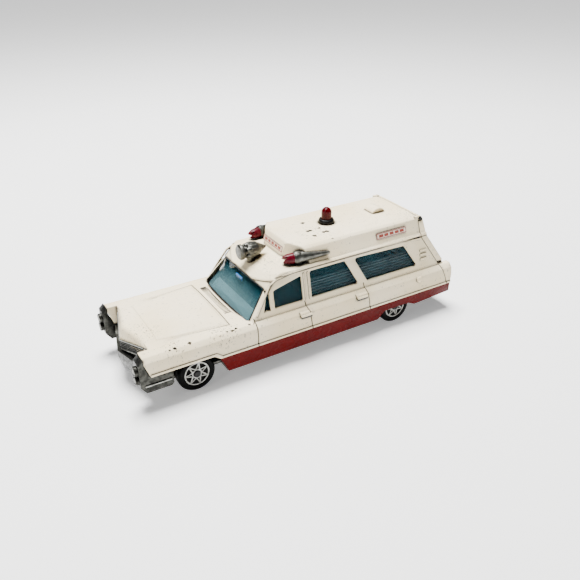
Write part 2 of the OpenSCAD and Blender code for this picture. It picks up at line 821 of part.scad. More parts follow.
// Handles of the four engraved doors, and the filler cap on the left
module handles() {
    intersection() {
        along(tail_x, nose_x, mirrored(lower_half(-2 * trim_out, sill_z)));
        for (x = [b_x, c_x])
            block([x, -side_y - over, shoulder_z], [x + handle_l, side_y + over, shoulder_z + trim_h]);
    }
    intersection() {
        along(tail_x, nose_x, mirrored(lower_half(-trim_out, sill_z)));
        translate([tail_x + filler_in, fin_y, (waist_z + crest_z) / 2])
            rotate([-90, 0, 0])
                cylinder(d = filler_d, h = fin_w + over);
    }
}

// Three louvre bars on each rear pillar
module louvres()
    intersection() {
        along(tail_x, nose_x, mirrored(cabin_half(-trim_out, crest_z)));
        for (k = [0 : 2])
            across(width, [
                [d_foot_x - d_pillar_w / 2, win_sill_z + 2 * trim_h + k * 2 * trim_h],
                [d_foot_x - d_pillar_w / 6, win_sill_z + 2 * trim_h + k * 2 * trim_h],
                [d_foot_x - d_pillar_w / 6, win_sill_z + 3 * trim_h + k * 2 * trim_h],
                [d_foot_x - d_pillar_w / 2, win_sill_z + 3 * trim_h + k * 2 * trim_h]]);
    }

// Scoop on the raised roof
module scoop()
    translate([seam_top_x + scoop_in, 0, 0])
        across(scoop_w, [
            [-scoop_l / 2, top_z - wall / 2],
            [scoop_l / 2, top_z - wall / 2],
            [scoop_l / 2 - scoop_h, top_z + scoop_h],
            [0, top_z + scoop_h],
            [-scoop_l / 2, top_z]]);

// Hinge lugs for the rear door, one at each corner of the raised roof
module hinge_lugs()
    both_sides()
        translate([0, lug_y, 0])
            rotate([-90, 0, 0])
                linear_extrude(height = lug_w) {
                    translate([hinge_x, -hinge_z])
                        circle(d = barrel_d);
                    translate([hinge_x, -hinge_z - barrel_d / 2])
                        square([hinge_back + wall, barrel_d]);
                }

module hinge_hole(d)
    translate([hinge_x, 0, hinge_z])
        rotate([90, 0, 0])
            cylinder(d = d, h = width, center = true);

// Screw posts that reach down to the base plate
module posts() {
    translate([screw_x, 0, base_top])
        cylinder(d = post_d, h = hood_z - wall / 2 - base_top);
    both_sides()
        translate([screw_rear_x, rear_screw_y, base_top])
            cylinder(d = post_d, h = floor_z - move_gap - base_top);
}

module at_screws() {
    translate([screw_x, 0, 0])
        children();
    both_sides()
        translate([screw_rear_x, rear_screw_y, 0])
            children();
}

// Hollow of the body: lower part, rear opening, cabin and raised roof
module body_hollow() {
    along(seam_foot_x + wall, nose_back_x - nose_slope - wall, mirrored(lower_half(wall, 0)));
    block([seam_foot_x - over, wall - fin_y, door_foot_z],
        [seam_foot_x + 2 * wall, fin_y - wall, shoulder_z]);
    cabin(wall, paint_z + trim_h, over);
    cap(wall, seam_top_x - over, gutter_z - wall);
}

// Space between the fins for the rear door and the rear bumper, and before the hood for the grille
module end_spaces() {
    block([tail_x - over, -fin_y, 0], [panel_x, fin_y, hood_z + over]);
    block([tail_x - over, -fin_y, door_foot_z], [seam_foot_x, fin_y, hood_z + over]);
    block([nose_back_x, -prong_y, 0], [nose_x, prong_y, hood_z + over]);
    block([nose_back_x - grille_t - fit, -prong_y, 0], [nose_x, prong_y, lip_z]);
}

// Height of the hood at the distance y from the middle
function hood_at(y) = hood_z - hood_crown * (y - crown_half) / (side_y - crest_inset - crown_half);

// Pointed front of the hood
module hood_nose()
    hull() {
        along(nose_back_x - nose_slope, nose_back_x - groove_w,
            mirrored([[prong_y, lip_z], [prong_y, hood_at(prong_y)], [crown_half, hood_z]]));
        upward(lip_z, lip_z + groove_w, lip_plan);
    }

module body_shell()
    color("ivory")
        difference() {
            union() {
                difference() {
                    union() {
                        difference() {
                            union() {
                                lower_body();
                                trim_strip();
                            }
                            end_spaces();
                        }
                        hood_nose();
                        handles();
                        cabin(0, shoulder_z);
                        gutter();
                        louvres();
                        cap(0, seam_top_x, gutter_z - gutter_h);
                    }
                    body_hollow();
                    window_cuts();
                    side_grooves();
                    hood_grooves();
                }
                scoop();
                hinge_lugs();
                posts();
            }
            hinge_hole(pin_d + 2 * run_fit);
            at_screws()
                translate([0, 0, base_top - over])
                    cylinder(d = screw_d + 2 * run_fit, h = screw_l + over);
            roof_holes();
            lamp_pockets();
            translate([panel_x - over, 0, tail_z + rear_bumper_h / 2])
                both_sides()
                    translate([0, fin_y / 2, 0])
                        rotate([0, 90, 0])
                            cylinder(d = peg_d + 2 * fit, h = rear_panel_in + 2 * over);
        }

// Height of the front roof at x
function roof_at(x) = screen_top_z + roof_rise * lookup((screen_top_x - x) / roof_run, roof_front_shares);

siren_peg_x = siren_x - siren_l / 2;
peg_foot_z = gutter_z - wall;

// Holes for the pegs of the roof fittings
module roof_holes() {
    translate([beacon_x, 0, roof_z])
        cylinder(d = peg_d + 2 * fit, h = 2 * cap_h);
    translate([siren_peg_x, 0, roof_at(siren_peg_x) - wall - over])
        cylinder(d = peg_d + 2 * fit, h = cap_h);
    both_sides()
        at_lamp(lamp_nose + peg_d)
            translate([0, 0, peg_foot_z - lamp_z])
                cylinder(d = peg_d + 2 * fit, h = cap_h);
}

tail_lamp_y = side_y - fin_w / 2;
tail_lamp_z = (paint_z + trim_h + crest_z) / 2;

module lamp_pockets()
    both_sides()
        translate([0, tail_lamp_y, tail_lamp_z])
            block([fin_x - over, -tail_lamp_w / 2 - fit, -tail_lamp_h / 2 - fit],
                [fin_x + tail_lamp_t + fit, tail_lamp_w / 2 + fit, tail_lamp_h / 2 + fit]);

module tail_lamp()
    block([tail_x, tail_lamp_y - tail_lamp_w / 2, tail_lamp_z - tail_lamp_h / 2],
        [fin_x + tail_lamp_t, tail_lamp_y + tail_lamp_w / 2, tail_lamp_z + tail_lamp_h / 2]);

module left_tail_lamp()
    color("darkred")
        tail_lamp();

module right_tail_lamp()
    color("darkred")
        mirror([0, 1, 0])
            tail_lamp();

// Plan of the base plate: wide between the wheels, narrow at both ends
base_half = side_y - sill_inset - wall - fit;
base_front_x = nose_back_x - grille_t;
wheel_clear = tyre_d / 2 + wheel_space;

module base_plate()
    color("dimgray")
        difference() {
            union() {
                block([rear_x + arch_front, -base_half, base_z],
                    [front_x - front_cut_foot, base_half, base_top]);
                block([seam_foot_x + wall + fit, -tray_y, base_z], [base_front_x, tray_y, base_top]);
                for (x = [front_x, rear_x])
                    both_sides()
                        block([x - bracket_l / 2, tray_y * bracket_share, base_z],
                            [x + bracket_l / 2, tray_y * bracket_share + bracket_t, bracket_z]);
            }
            for (x = [front_x, rear_x])
                translate([x, 0, axle_z])
                    rotate([90, 0, 0])
                        cylinder(d = axle_d + 2 * run_fit, h = width, center = true);
            at_screws() {
                translate([0, 0, base_z - over])
                    cylinder(d = screw_d + 2 * fit, h = base_t + 2 * over);
                translate([0, 0, base_z - over])
                    cylinder(d = screw_head_d + 2 * fit, h = screw_head_t + over);
            }
        }

module base_screws()
    color("silver")
        at_screws() {
            translate([0, 0, base_z])
                cylinder(d = screw_head_d, h = screw_head_t);
            translate([0, 0, base_z])
                cylinder(d = screw_d, h = base_t + screw_l - fit);
        }

// Pointed plan of grille and bumper: half width at the back, at the front, and the tip
function nose_plan(back, half, front, tip) = [
    [back, half],
    [front, half],
    [front, min(half, nose_half)],
    [tip, 0],
    [front, -min(half, nose_half)],
    [front, -half],
    [back, -half]];

grille_half = prong_y - fit;
grille_x = nose_back_x - rib_out;
bumper_x = fender_x - fender_toe;
bumper_tip_x = nose_tip_x + bumper_out;
bumper_top_z = skirt_z - fit;
bumper_rear_x = front_x + tyre_d / 2 + bumper_gap;
tower_x = fender_x + fender_inset * tower_share;

// Lamp tower and side wrap of the front bumper
module bumper_end()
    translate([0, (prong_y + side_y - bumper_inset) / 2, 0])
        across(side_y - bumper_inset - prong_y, [
            [bumper_x - fit, bumper_top_z],
            [bumper_rear_x, bumper_top_z],
            [bumper_rear_x, bumper_side_z + trim_h],
            [bumper_rear_x + trim_h, bumper_side_z],
            [fender_x, bumper_side_z],
            [tower_x, bumper_side_z + tower_rise],
            [tower_x, crest_z - fender_toe],
            [fender_x + fit, crest_z - fit],
            [fender_x + fit, crest_z - fender_toe],
            [bumper_x + fit, bumper_top_z]]);

module headlamp()
    rotate([0, 90, 0]) {
        cylinder(d = headlamp_d, h = nose_x - tower_x + fit);
        translate([0, 0, fit - over])
            cylinder(d = headlamp_d, h = over);
    }

module front_bumper()
    color("silver")
        union() {
            upward(grille_z - rib_h, lip_z - fit,
                nose_plan(base_front_x, grille_half, grille_x, nose_tip_x - rib_out));
            for (k = [0 : 2])
                translate([0, 0, grille_z + (lip_z - grille_z) * rib_shares[k]])
                    upward(0, rib_h, nose_plan(base_front_x, grille_half, grille_x + rib_out, nose_tip_x));
            hull() {
                upward(grille_z - grille_t, grille_z,
                    nose_plan(base_front_x, prong_y + fit, bumper_x, bumper_tip_x));
                upward(bumper_low, bumper_low + rib_h,
                    nose_plan(base_front_x + fit, nose_half * low_share, bumper_x, nose_tip_x));
            }
            upward(grille_z - grille_t, grille_z - grille_t + rib_h,
                nose_plan(base_front_x, prong_y + fit, bumper_x + rib_out, bumper_tip_x));
            block([base_front_x - tongue_l, -nose_half, base_top],
                [base_front_x + grille_t / 2, nose_half, base_top + base_t]);
            both_sides() {
                bumper_end();
                block([bumper_rear_x + trim_h, prong_y + prong_w / 2, bumper_side_z + grille_t],
                    [fender_x, side_y - bumper_inset + rib_out, bumper_side_z + grille_t + rib_h]);
                for (k = [0, 1])
                    translate([tower_x - fit, side_y - headlamp_inset, headlamp_z - k * headlamp_pitch])
                        headlamp();
            }
        }

module rear_bumper()
    color("silver") {
        across(2 * (fin_y - fit), [
            [panel_x - fit, tail_z],
            [tail_x + trim_h, tail_z],
            [tail_x, tail_z + trim_h],
            [tail_x, tail_z + rear_bumper_h - trim_h],
            [tail_x + trim_h, tail_z + rear_bumper_h],
            [panel_x - fit, tail_z + rear_bumper_h]]);
        both_sides()
            translate([panel_x - over, fin_y / 2, tail_z + rear_bumper_h / 2])
                rotate([0, 90, 0])
                    cylinder(d = peg_d, h = bumper_peg + over);
    }

// Windscreen, side windows and their ceiling in one moulding, with the mirror on it
module glazing()
    color("steelblue", 0.5)
        union() {
            difference() {
                cabin(pane_in, rim_z);
                cabin(pane_back, rim_z - over, over);
            }
            translate([screen_x, 0, screen_z])
                rotate([0, screen_tilt, 0])
                    block([-screen_len * mirror_share - mirror_h, -mirror_w / 2, -pane_back - glass_t],
                        [-screen_len * mirror_share, mirror_w / 2, -pane_in - glass_t / 2]);
        }

tray_rear_x = seam_foot_x + wall + fit;
dash_x = screen_x - dash_l * dash_share;
dash_z = crest_z + dash_h;
rim_y = cabin_at(rim_z) - wall - 2 * fit;
blind_z = win_sill_z + blind_h;

// Slatted panels behind the middle and rear side windows
module blinds()
    difference() {
        intersection() {
            difference() {
                cabin(blind_in, rim_z - tray_t);
                cabin(blind_in + blind_t, rim_z - 2 * tray_t, over);
            }
            block([d_foot_x - over, -side_y, rim_z - tray_t / 2], [b_x, side_y, blind_z]);
        }
        for (k = [0 : floor((blind_h - slat_gap) / slat_pitch) - 1]) {
            across(width, slit(d_foot_x + slat_pitch, c_x - slat_pitch, k));
            across(width, slit(c_x + slat_pitch, b_x - b_pillar_w, k));
        }
    }

function slit(x0, x1, k) = [
    [x0, win_sill_z + slat_pitch * k + slat_gap],
    [x1, win_sill_z + slat_pitch * k + slat_gap],
    [x1, win_sill_z + slat_pitch * k + 2 * slat_gap],
    [x0, win_sill_z + slat_pitch * k + 2 * slat_gap]];

// Place of the steering wheel, with its column along -Z
module at_steering()
    translate([screen_x - steer_back, steer_y, crest_z + steer_h])
        rotate([0, steer_lean - 90, 0])
            children();

module interior()
    color("gainsboro")
        difference() {
            union() {
                block([tray_rear_x, -tray_y, floor_z], [dash_x, tray_y, floor_top]);
                both_sides() {
                    block([tray_rear_x, tray_y - tray_t, floor_z], [dash_x - dash_l, tray_y, rim_z]);
                    block([tray_rear_x, tray_y - tray_t, rim_z - tray_t], [dash_x - dash_l, rim_y, rim_z]);
                    block([tray_rear_x, bed_w / 2 + move_gap, floor_z],
                        [c_x, bed_w / 2 + move_gap + tray_t, floor_top + guide_h]);
                    for (x = [b_x, rear_x + wheel_clear + bracket_l, rear_x - wheel_clear - bracket_l / 2])
                        block([x - bracket_l / 2, tray_y / 4, base_top],
                            [x + bracket_l / 2, tray_y / 2, floor_top]);
                }
                intersection() {
                    block([dash_x - dash_l, -tray_y, floor_z], [dash_x, tray_y, dash_z]);
                    cabin(blind_in, floor_z - over);
                }
                blinds();
            }
            at_steering()
                translate([0, 0, -steer_d])
                    cylinder(d = column_d + 2 * fit, h = steer_d);
        }

module front_seat()
    color("slategray") {
        block([seat_x, -seat_half, floor_top], [seat_x + seat_l, seat_half, floor_top + seat_h]);
        block([seat_x, -seat_half, floor_top], [seat_x + seat_back_t, seat_half, floor_top + seat_back_h]);
        both_sides()
            translate([seat_x, seat_half - seat_back_r, floor_top + seat_back_h])
                rotate([0, 90, 0])
                    cylinder(r = seat_back_r, h = seat_back_t);
    }

module steering_wheel()
    color("black")
        at_steering() {
            rotate_extrude()
                translate([(steer_d - steer_rim) / 2, 0])
                    circle(d = steer_rim, $fn = 24);
            block([-steer_rim / 2, steer_rim / 2 - steer_d / 2, -steer_rim / 4],
                [steer_rim / 2, steer_d / 2 - steer_rim / 2, steer_rim / 4]);
            translate([0, 0, -steer_d + fit])
                cylinder(d = column_d, h = steer_d);
        }

bed_top = floor_top + bed_h;

module stretcher_frame()
    color("lightgray") {
        block([bed_x, -bed_w / 2, bed_top - bed_t], [bed_x + bed_l, bed_w / 2, bed_top]);
        both_sides()
            block([bed_x + bed_t, bed_w / 2 - 2 * bed_t, floor_top + fit],
                [bed_x + bed_l - bed_t, bed_w / 2 - bed_t, bed_top]);
    }

module stretcher_pad()
    color("white") {
        block([bed_x + bed_t, bed_t - bed_w / 2, bed_top],
            [bed_x + bed_l - bed_t, bed_w / 2 - bed_t, bed_top + pad_t]);
        block([bed_x + bed_l - 2 * bed_t - pillow_l, 2 * bed_t - bed_w / 2, bed_top],
            [bed_x + bed_l - 2 * bed_t, bed_w / 2 - 2 * bed_t, bed_top + 2 * pad_t]);
    }

module beacon_base()
    color("black")
        translate([beacon_x, 0, top_z]) {
            rotate_extrude()
                polygon([
                    [0, 0],
                    [(beacon_base_d - beacon_base_h / 2) / 2, 0],
                    [beacon_base_d / 2, beacon_base_h / 2],
                    [(beacon_base_d - beacon_base_h / 2) / 2, beacon_base_h],
                    [0, beacon_base_h]]);
            cylinder(d = dome_d - 2 * dome_t - 2 * fit, h = beacon_base_h + dome_t);
            translate([0, 0, -wall])
                cylinder(d = peg_d, h = wall + beacon_base_h / 2);
        }

// Dome outline of radius r and height h
function dome(r, h) = concat(
    [[0, 0], [r, 0]],
    [for (a = [0 : 15 : 75]) [r * cos(a), h - r + r * sin(a)]],
    [[0, h]]);

module beacon_dome()
    color("red")
        translate([beacon_x, 0, top_z + beacon_base_h])
            rotate_extrude()
                difference() {
                    polygon(dome(dome_d / 2, dome_h));
                    translate([0, -over])
                        polygon(dome(dome_d / 2 - dome_t, dome_h - dome_t + over));
                }

// Turned outline along -X from the origin
module turned(l, r, shares)
    rotate([0, -90, 0])
        rotate_extrude()
            polygon([for (s = shares) [r * s[1], l * s[0]]]);

module siren()
    color("silver")
        union() {
            translate([siren_x, 0, siren_z])
                turned(siren_l, siren_d / 2, siren_shares);
            difference() {
                translate([siren_peg_x, 0, screen_top_z])
                    cylinder(d = siren_foot, h = siren_z - screen_top_z);
                cabin(0, screen_z);
            }
            translate([siren_peg_x, 0, roof_at(siren_peg_x) - wall / 2])
                cylinder(d = peg_d, h = siren_z - roof_at(siren_peg_x));
        }

// Place on the axis of the left roof lamp, behind its nose tip
module at_lamp(back)
    translate([lamp_x, lamp_y, lamp_z])
        rotate([0, 0, -lamp_splay])
            translate([-back, 0, 0])
                children();

// Roof lamp: bell, tapered tail, foot and peg
module roof_lamp()
    color("silver")
        union() {
            difference() {
                union() {
                    at_lamp(lamp_nose)
                        turned(lamp_l - lamp_nose, lamp_d / 2, lamp_shares);
                    at_lamp(lamp_nose + peg_d)
                        translate([0, 0, peg_foot_z - lamp_z])
                            cylinder(d = peg_d * 2, h = lamp_z - peg_foot_z);
                }
                cabin(-fit, screen_z);
                cap(-fit, seam_top_x, gutter_z - gutter_h);
            }
            at_lamp(lamp_nose + peg_d)
                translate([0, 0, roof_z - wall / 2 - lamp_z])
                    cylinder(d = peg_d, h = lamp_z - roof_z + wall / 2);
        }

// Red lamp nose with four points
module lamp_nose_piece()
    color("darkred")
        at_lamp(0)
            difference() {
                turned(lamp_nose - fit, lamp_d / 2, nose_shares);
                for (a = [45, 135])
                    rotate([a, 0, 0])
                        across(lamp_d, [
                            [over, -lamp_d / 4 - over * lamp_d / 4 / nose_notch],
                            [-nose_notch, 0],
                            [over, lamp_d / 4 + over * lamp_d / 4 / nose_notch]]);
            }

module left_roof_lamp()
    roof_lamp();

module right_roof_lamp()
    mirror([0, 1, 0])
        roof_lamp();

module left_lamp_nose()
    lamp_nose_piece();

module right_lamp_nose()
    mirror([0, 1, 0])
        lamp_nose_piece();

// Rear door

door_low = door_foot_z + move_gap;
door_half = fin_y - move_gap;
door_wide_z = crest_z + door_rim;
rear_sill_z = crest_z + rear_sill_h;
rear_head_z = knee_z - pane_lap - fit;

// Side view of the rear door: seam line, then outer face
door_side = [
    [seam_top_x - move_gap, hinge_z],
    [seam_top_x - move_gap, knee_z],
    [seam_foot_x - move_gap, crest_z],
    [seam_foot_x - move_gap, door_low],
    [seam_foot_x - door_depth + door_skin / 2, door_low],
    [seam_foot_x - door_depth, crest_z],
    [seam_top_x - door_depth, knee_z],
    [seam_top_x - door_top_depth, hinge_z]];

// Side view of the hollow behind the door skin
door_hollow = [
    [seam_top_x + over, hinge_z - barrel_d],
    [seam_top_x + over, knee_z],
    [seam_foot_x + over, crest_z],
    [seam_foot_x + over, door_low + door_rim],
    [seam_foot_x - door_depth + door_skin, door_low + door_rim],
    [seam_foot_x - door_depth + door_skin, crest_z],
    [seam_top_x - door_depth + door_skin, knee_z],
    [seam_top_x - door_top_depth + door_skin, hinge_z - barrel_d]];

// Cross-sections of the rear door, set in by i
module door_section(i) {
    along(tail_x, seam_top_x + over, mirrored(cabin_half(i, door_wide_z)));
    along(tail_x, seam_top_x + over, mirrored(cap_half(i, gutter_z - gutter_h)));
    block([tail_x, i - door_half, door_low], [seam_top_x, door_half - i, door_wide_z + door_rim]);
}

module rear_pane_outline(lap)
    along(tail_x - over, seam_top_x, rounded([
        [-rear_win_half - lap, rear_sill_z - lap],
        [rear_win_half + lap, rear_sill_z - lap],
        [rear_win_half + lap - pane_lap, rear_head_z + lap],
        [-rear_win_half - lap + pane_lap, rear_head_z + lap]], win_r + lap));

module rear_door()
    color("ivory")
        difference() {
            union() {
                difference() {
                    intersection() {
                        across(width, door_side);
                        door_section(0);
                    }
                    intersection() {
                        across(width, door_hollow);
                        door_section(door_rim);
                    }
                    rear_pane_outline(0);
                }
                translate([hinge_x, 0, hinge_z])
                    rotate([90, 0, 0])
                        cylinder(d = barrel_d, h = 2 * (lug_y - move_gap), center = true);
                block([seam_foot_x - door_depth - trim_h, -handle_l / 2, shoulder_z - 2 * trim_h],
                    [seam_foot_x - door_depth + door_skin / 2, handle_l / 2, shoulder_z - trim_h]);
            }
            both_sides()
                translate([hinge_x, lug_y - move_gap, hinge_z])
                    block([-barrel_d / 2 - move_gap, 0, -barrel_d / 2 - move_gap],
                        [hinge_back + over, side_y, hinge_drop + over]);
            hinge_hole(pin_d + 2 * run_fit);
        }

module rear_door_pane()
    color("steelblue", 0.5)
        intersection() {
            across(width, [
                [seam_foot_x - door_depth + door_skin + fit, crest_z],
                [seam_top_x - door_depth + door_skin + fit, knee_z],
                [seam_top_x - door_depth + door_skin + fit + glass_t, knee_z],
                [seam_foot_x - door_depth + door_skin + fit + glass_t, crest_z]]);
            rear_pane_outline(pane_lap);
        }

module hinge_pin()
    color("dimgray")
        translate([hinge_x, 0, hinge_z])
            rotate([90, 0, 0]) {
                cylinder(d = pin_d, h = 2 * cap_top_y, center = true);
                for (s = [-1, 1])
                    translate([0, 0, s * (cap_top_y + pin_head / 2)])
                        cylinder(d = pin_head_d, h = pin_head, center = true);
            }

module axle(x)
    color("silver")
        translate([x, 0, axle_z])
            rotate([90, 0, 0]) {
                cylinder(d = axle_d, h = 2 * (hub_y + move_gap), center = true);
                for (s = [-1, 1])
                    translate([0, 0, s * (hub_y + move_gap + axle_head_t / 2)])
                        cylinder(d = axle_head_d, h = axle_head_t, center = true);
            }

module front_axle()
    axle(front_x);

module rear_axle()
    axle(rear_x);

// Wheel with its outer face at the origin, axis along Z
module wheel()
    color("black")
        rotate_extrude($fn = 96)
            polygon([
                [axle_r + run_fit, -tyre_w],
                [tyre_d / 2 - tyre_bevel, -tyre_w],
                [tyre_d / 2, tyre_bevel - tyre_w],
                [tyre_d / 2, -tyre_bevel],
                [tyre_d / 2 - tyre_bevel, 0],
                [face_d / 2 + fit, 0],
                [face_d / 2 + fit, -face_recess],
                [axle_r + run_fit, -face_recess]]);

function polar(r, a) = r * [cos(a), sin(a)];

// One spoke from a hub corner at angle a to the ring at angle b
module spoke(a, b) {
    p = polar(hub_ring_d / 2 - spoke_w, a);
    q = polar(face_d / 2 - ring_w / 2, b);
    n = unit([p[1] - q[1], q[0] - p[0]]) * spoke_w / 2;
    linear_extrude(height = face_t)
        polygon([p - n, p + n, q + n, q - n]);
}

// Silver spoked face in the recess of a wheel
module wheel_face()
    color("silver")
        translate([0, 0, -face_recess])
            difference() {
                union() {
                    difference() {
                        cylinder(d = face_d, h = face_t, $fn = 96);
                        translate([0, 0, -over])
                            cylinder(d = face_d - 2 * ring_w, h = face_t + 2 * over, $fn = 96);
                    }
                    cylinder(d = hub_ring_d, h = face_t, $fn = 6);
                    for (k = [0 : 5]) {
                        spoke(k * 60, k * 60 + spoke_spread);
                        spoke(k * 60, k * 60 - spoke_spread);
                    }
                }
                translate([0, 0, -over])
                    cylinder(d = axle_head_d + 2 * move_gap, h = face_t + 2 * over);
            }

module on_left(x)
    translate([x, wheel_y, axle_z])
        rotate([-90, 0, 0])
            children();

module on_right(x)
    mirror([0, 1, 0])
        on_left(x)
            children();

module front_left_wheel()
    on_left(front_x)
        wheel();

module front_right_wheel()
    on_right(front_x)
        wheel();

module rear_left_wheel()
    on_left(rear_x)
        wheel();

module rear_right_wheel()
    on_right(rear_x)
        wheel();

module front_left_face()
    on_left(front_x)
        wheel_face();

module front_right_face()
    on_right(front_x)
        wheel_face();

module rear_left_face()
    on_left(rear_x)
        wheel_face();

module rear_right_face()
    on_right(rear_x)
        wheel_face();

body_shell();
base_plate();
base_screws();
front_bumper();
rear_bumper();
left_tail_lamp();
right_tail_lamp();
glazing();
interior();
front_seat();
steering_wheel();
stretcher_frame();
stretcher_pad();
beacon_base();
beacon_dome();
siren();
left_roof_lamp();
right_roof_lamp();
left_lamp_nose();
right_lamp_nose();
rear_door();
rear_door_pane();
hinge_pin();
front_axle();
rear_axle();
front_left_wheel();
front_right_wheel();
rear_left_wheel();
rear_right_wheel();
front_left_face();
front_right_face();
rear_left_face();
rear_right_face();
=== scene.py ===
import json
import math

import bmesh
import bpy
from mathutils import Matrix, Vector


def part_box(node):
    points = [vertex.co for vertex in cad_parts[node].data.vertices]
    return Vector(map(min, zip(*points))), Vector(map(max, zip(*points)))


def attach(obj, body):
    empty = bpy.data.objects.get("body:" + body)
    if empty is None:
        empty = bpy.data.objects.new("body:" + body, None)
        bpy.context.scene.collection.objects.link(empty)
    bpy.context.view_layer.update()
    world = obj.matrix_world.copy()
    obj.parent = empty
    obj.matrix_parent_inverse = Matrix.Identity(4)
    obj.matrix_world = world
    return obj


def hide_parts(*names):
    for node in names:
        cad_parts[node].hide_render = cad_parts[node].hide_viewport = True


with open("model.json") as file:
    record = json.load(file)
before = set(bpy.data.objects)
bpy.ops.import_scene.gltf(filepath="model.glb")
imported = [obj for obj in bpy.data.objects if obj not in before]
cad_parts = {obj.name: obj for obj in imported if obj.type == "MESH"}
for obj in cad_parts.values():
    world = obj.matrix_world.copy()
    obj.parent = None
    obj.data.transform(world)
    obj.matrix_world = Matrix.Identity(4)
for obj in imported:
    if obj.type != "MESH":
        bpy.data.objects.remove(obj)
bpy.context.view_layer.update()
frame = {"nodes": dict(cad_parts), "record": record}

# Lengths are written in millimetres and multiplied by mm where a mesh or a socket takes metres
mm = 0.001

# Distances within which a copied node's and a new shape's points merge, and the bend that counts as flat
copy_merge = 0.002
seam_merge = 0.005
flat_bend = math.radians(0.8)

# Floor: half its size, and the distances between which it starts to glow and glows fully
floor_half = 3000.0
glow_from, glow_to = 100.0, 450.0

# Photograph: frame, camera and its place round the toy
photo_px = 580
focal_px = 645.5
camera_turn = math.radians(149.31)
camera_rise = math.radians(29.37)
camera_roll = math.radians(-0.36)
camera_away = 293.9
camera_aside = 2.6
camera_up = 16.5
camera_near = 10.0

# Casting: where the red ends and the cream begins, roof, rail with its painted shadow, and the scoop that the
# roof vent stands in for
red_head, cream_foot = 13.02, 13.22
line_wander = 0.25
roof_top = 46.4
rail_side = 18.3
rail_foot = 37.8
rail_shadow_half = 0.25
scoop_middle = -47.7
scoop_reach = 4.6

# Hood: its flat middle and falling sides, its panel inside the shut lines, and its nose
hood_top = 23.4
hood_flat_half = 9.0
hood_fall = 0.07
hood_rear = 35.4
hood_rear_half = 19.0
hood_front_half = 15.3
shut_margin = 0.9
crown_rise = 0.6
crown_run = 3.5
skin_lift = 0.02
skin_thick = 0.2
skin_crease = 60.0
skin_grid = 60
nose_grid = 24
nose_back = 64.0
nose_overlap = 1.5
nose_corner = Vector((69.0, 17.2, 22.6))
nose_point = Vector((74.2, 0, 18.9))

# Windscreen, bent to a radius, with half its width at its foot and at its head
screen_foot = Vector((30.9, 0, 23.6))
screen_top = Vector((20.3, 0, 35.0))
screen_bend = 68.0
screen_foot_half = 20.2
screen_head_half = 16.9

# Distances forward between which the side glass turns to the windscreen, lighter as painted light, and the
# slats to the light shelf
screen_light_from, screen_light_to = 19.0, 27.0
shelf_from, shelf_to = 21.0, 22.0

# Slats of the interior behind the windows, and where in a pitch their crests, painted lighter as a highlight,
# are
slat_foot = 26.0
slat_pitch = 1.2
slat_side = 14.0
crest_middle, crest_half = 0.4, 0.19

# Raised roof: the lean of its sides and front, and the labels on them
cap_foot = 38.8
cap_foot_half = 18.0
cap_lean = 2.4 / 7.6
cap_front_rise = Vector((-1.4, 0, 6.5))
label_foot = 41.0
label_tall = 2.6
label_back, label_front = -52.6, -36.4
front_label_corner = (4.9, -8.6, 41.3)
front_label_long = 15.6
label_lift = 0.1
label_thick = 0.06
label_grid = (96, 32)

# Print on a label: a rule at a distance from its edge, and bars by their shares of its length and height
rule_from, rule_to = 0.1, 0.45
print_bars = 5
print_start = 0.08
print_long = 0.14
print_pitch = 0.175
print_foot, print_head = 0.28, 0.72

# Sides of the toy and their directions
sides = (("left", 1), ("right", -1))

# Chips in the enamel: how ragged they are, how much of its radius a chip fills, and the places and radii of
# those on the roof, and then of those on the fender crest and the scuttle
chip_ragged = 1.6
chip_share = 0.85
roof_chips = (
    (-12.4, -4.6, 1.1), (-9.7, 3.8, 1.0), (-10.9, 3.8, 1.1), (-15.6, 3.6, 0.8),
    (-9.8, 9.1, 1.0), (-15.1, 8.0, 1.0), (-16.7, 8.1, 1.1), (-15.5, 14.8, 0.9))
chips = [((x, y, roof_top), radius) for x, y, radius in roof_chips] + [
    ((53.9, 22.4, 22.8), 0.9), ((62.1, 22.8, 22.7), 0.6), ((60.0, 22.6, 22.8), 0.8),
    ((59.1, 19.4, 23.0), 0.4), ((28.6, 22.4, 23.0), 0.7), ((26.6, 22.6, 22.9), 0.6),
    ((36.5, 22.8, 22.8), 0.8), ((34.6, 22.3, 22.9), 0.7), ((38.5, 22.5, 22.9), 0.6)]
# Zones where the enamel has flaked in small specks: the worst share of each, and its place and reach
worn_core = 0.3
worn_zones = (
    ((-12.0, 6.0, roof_top), 10.0), ((60.0, 22.0, 22.8), 7.0), ((40.0, 22.6, 22.8), 9.0),
    ((66.0, 8.0, 23.4), 8.0), ((-58.0, 10.0, roof_top), 8.0), ((12.0, 8.0, 39.5), 7.0))


def linear(code):
    """An sRGB hex colour as the linear colour that a socket takes."""
    parts = [int(code[i:i + 2], 16) / 255 for i in (0, 2, 4)]
    return tuple(p / 12.92 if p <= 0.04045 else ((p + 0.055) / 1.055) ** 2.4 for p in parts) + (1.0,)


def add(tree, kind, inputs=(), out=0, **settings):
    """Adds a node with its settings, gives each input a value or a link, and returns one of its outputs."""
    node = tree.nodes.new("ShaderNode" + kind)
    for name, value in settings.items():
        setattr(node, name, value)
    for name, value in dict(inputs).items():
        if isinstance(value, bpy.types.NodeSocket):
            tree.links.new(value, node.inputs[name])
        else:
            node.inputs[name].default_value = value
    return node.outputs[out]


# Settings that many nodes share. A range takes its value at 0, its limits at 1 and 2 and its new limits at
# 3 and 4, and a mix takes its share at 0 and its colours at 6 and 7
eased = {"interpolation_type": "SMOOTHSTEP"}
mixed = {"data_type": "RGBA", "out": 2}


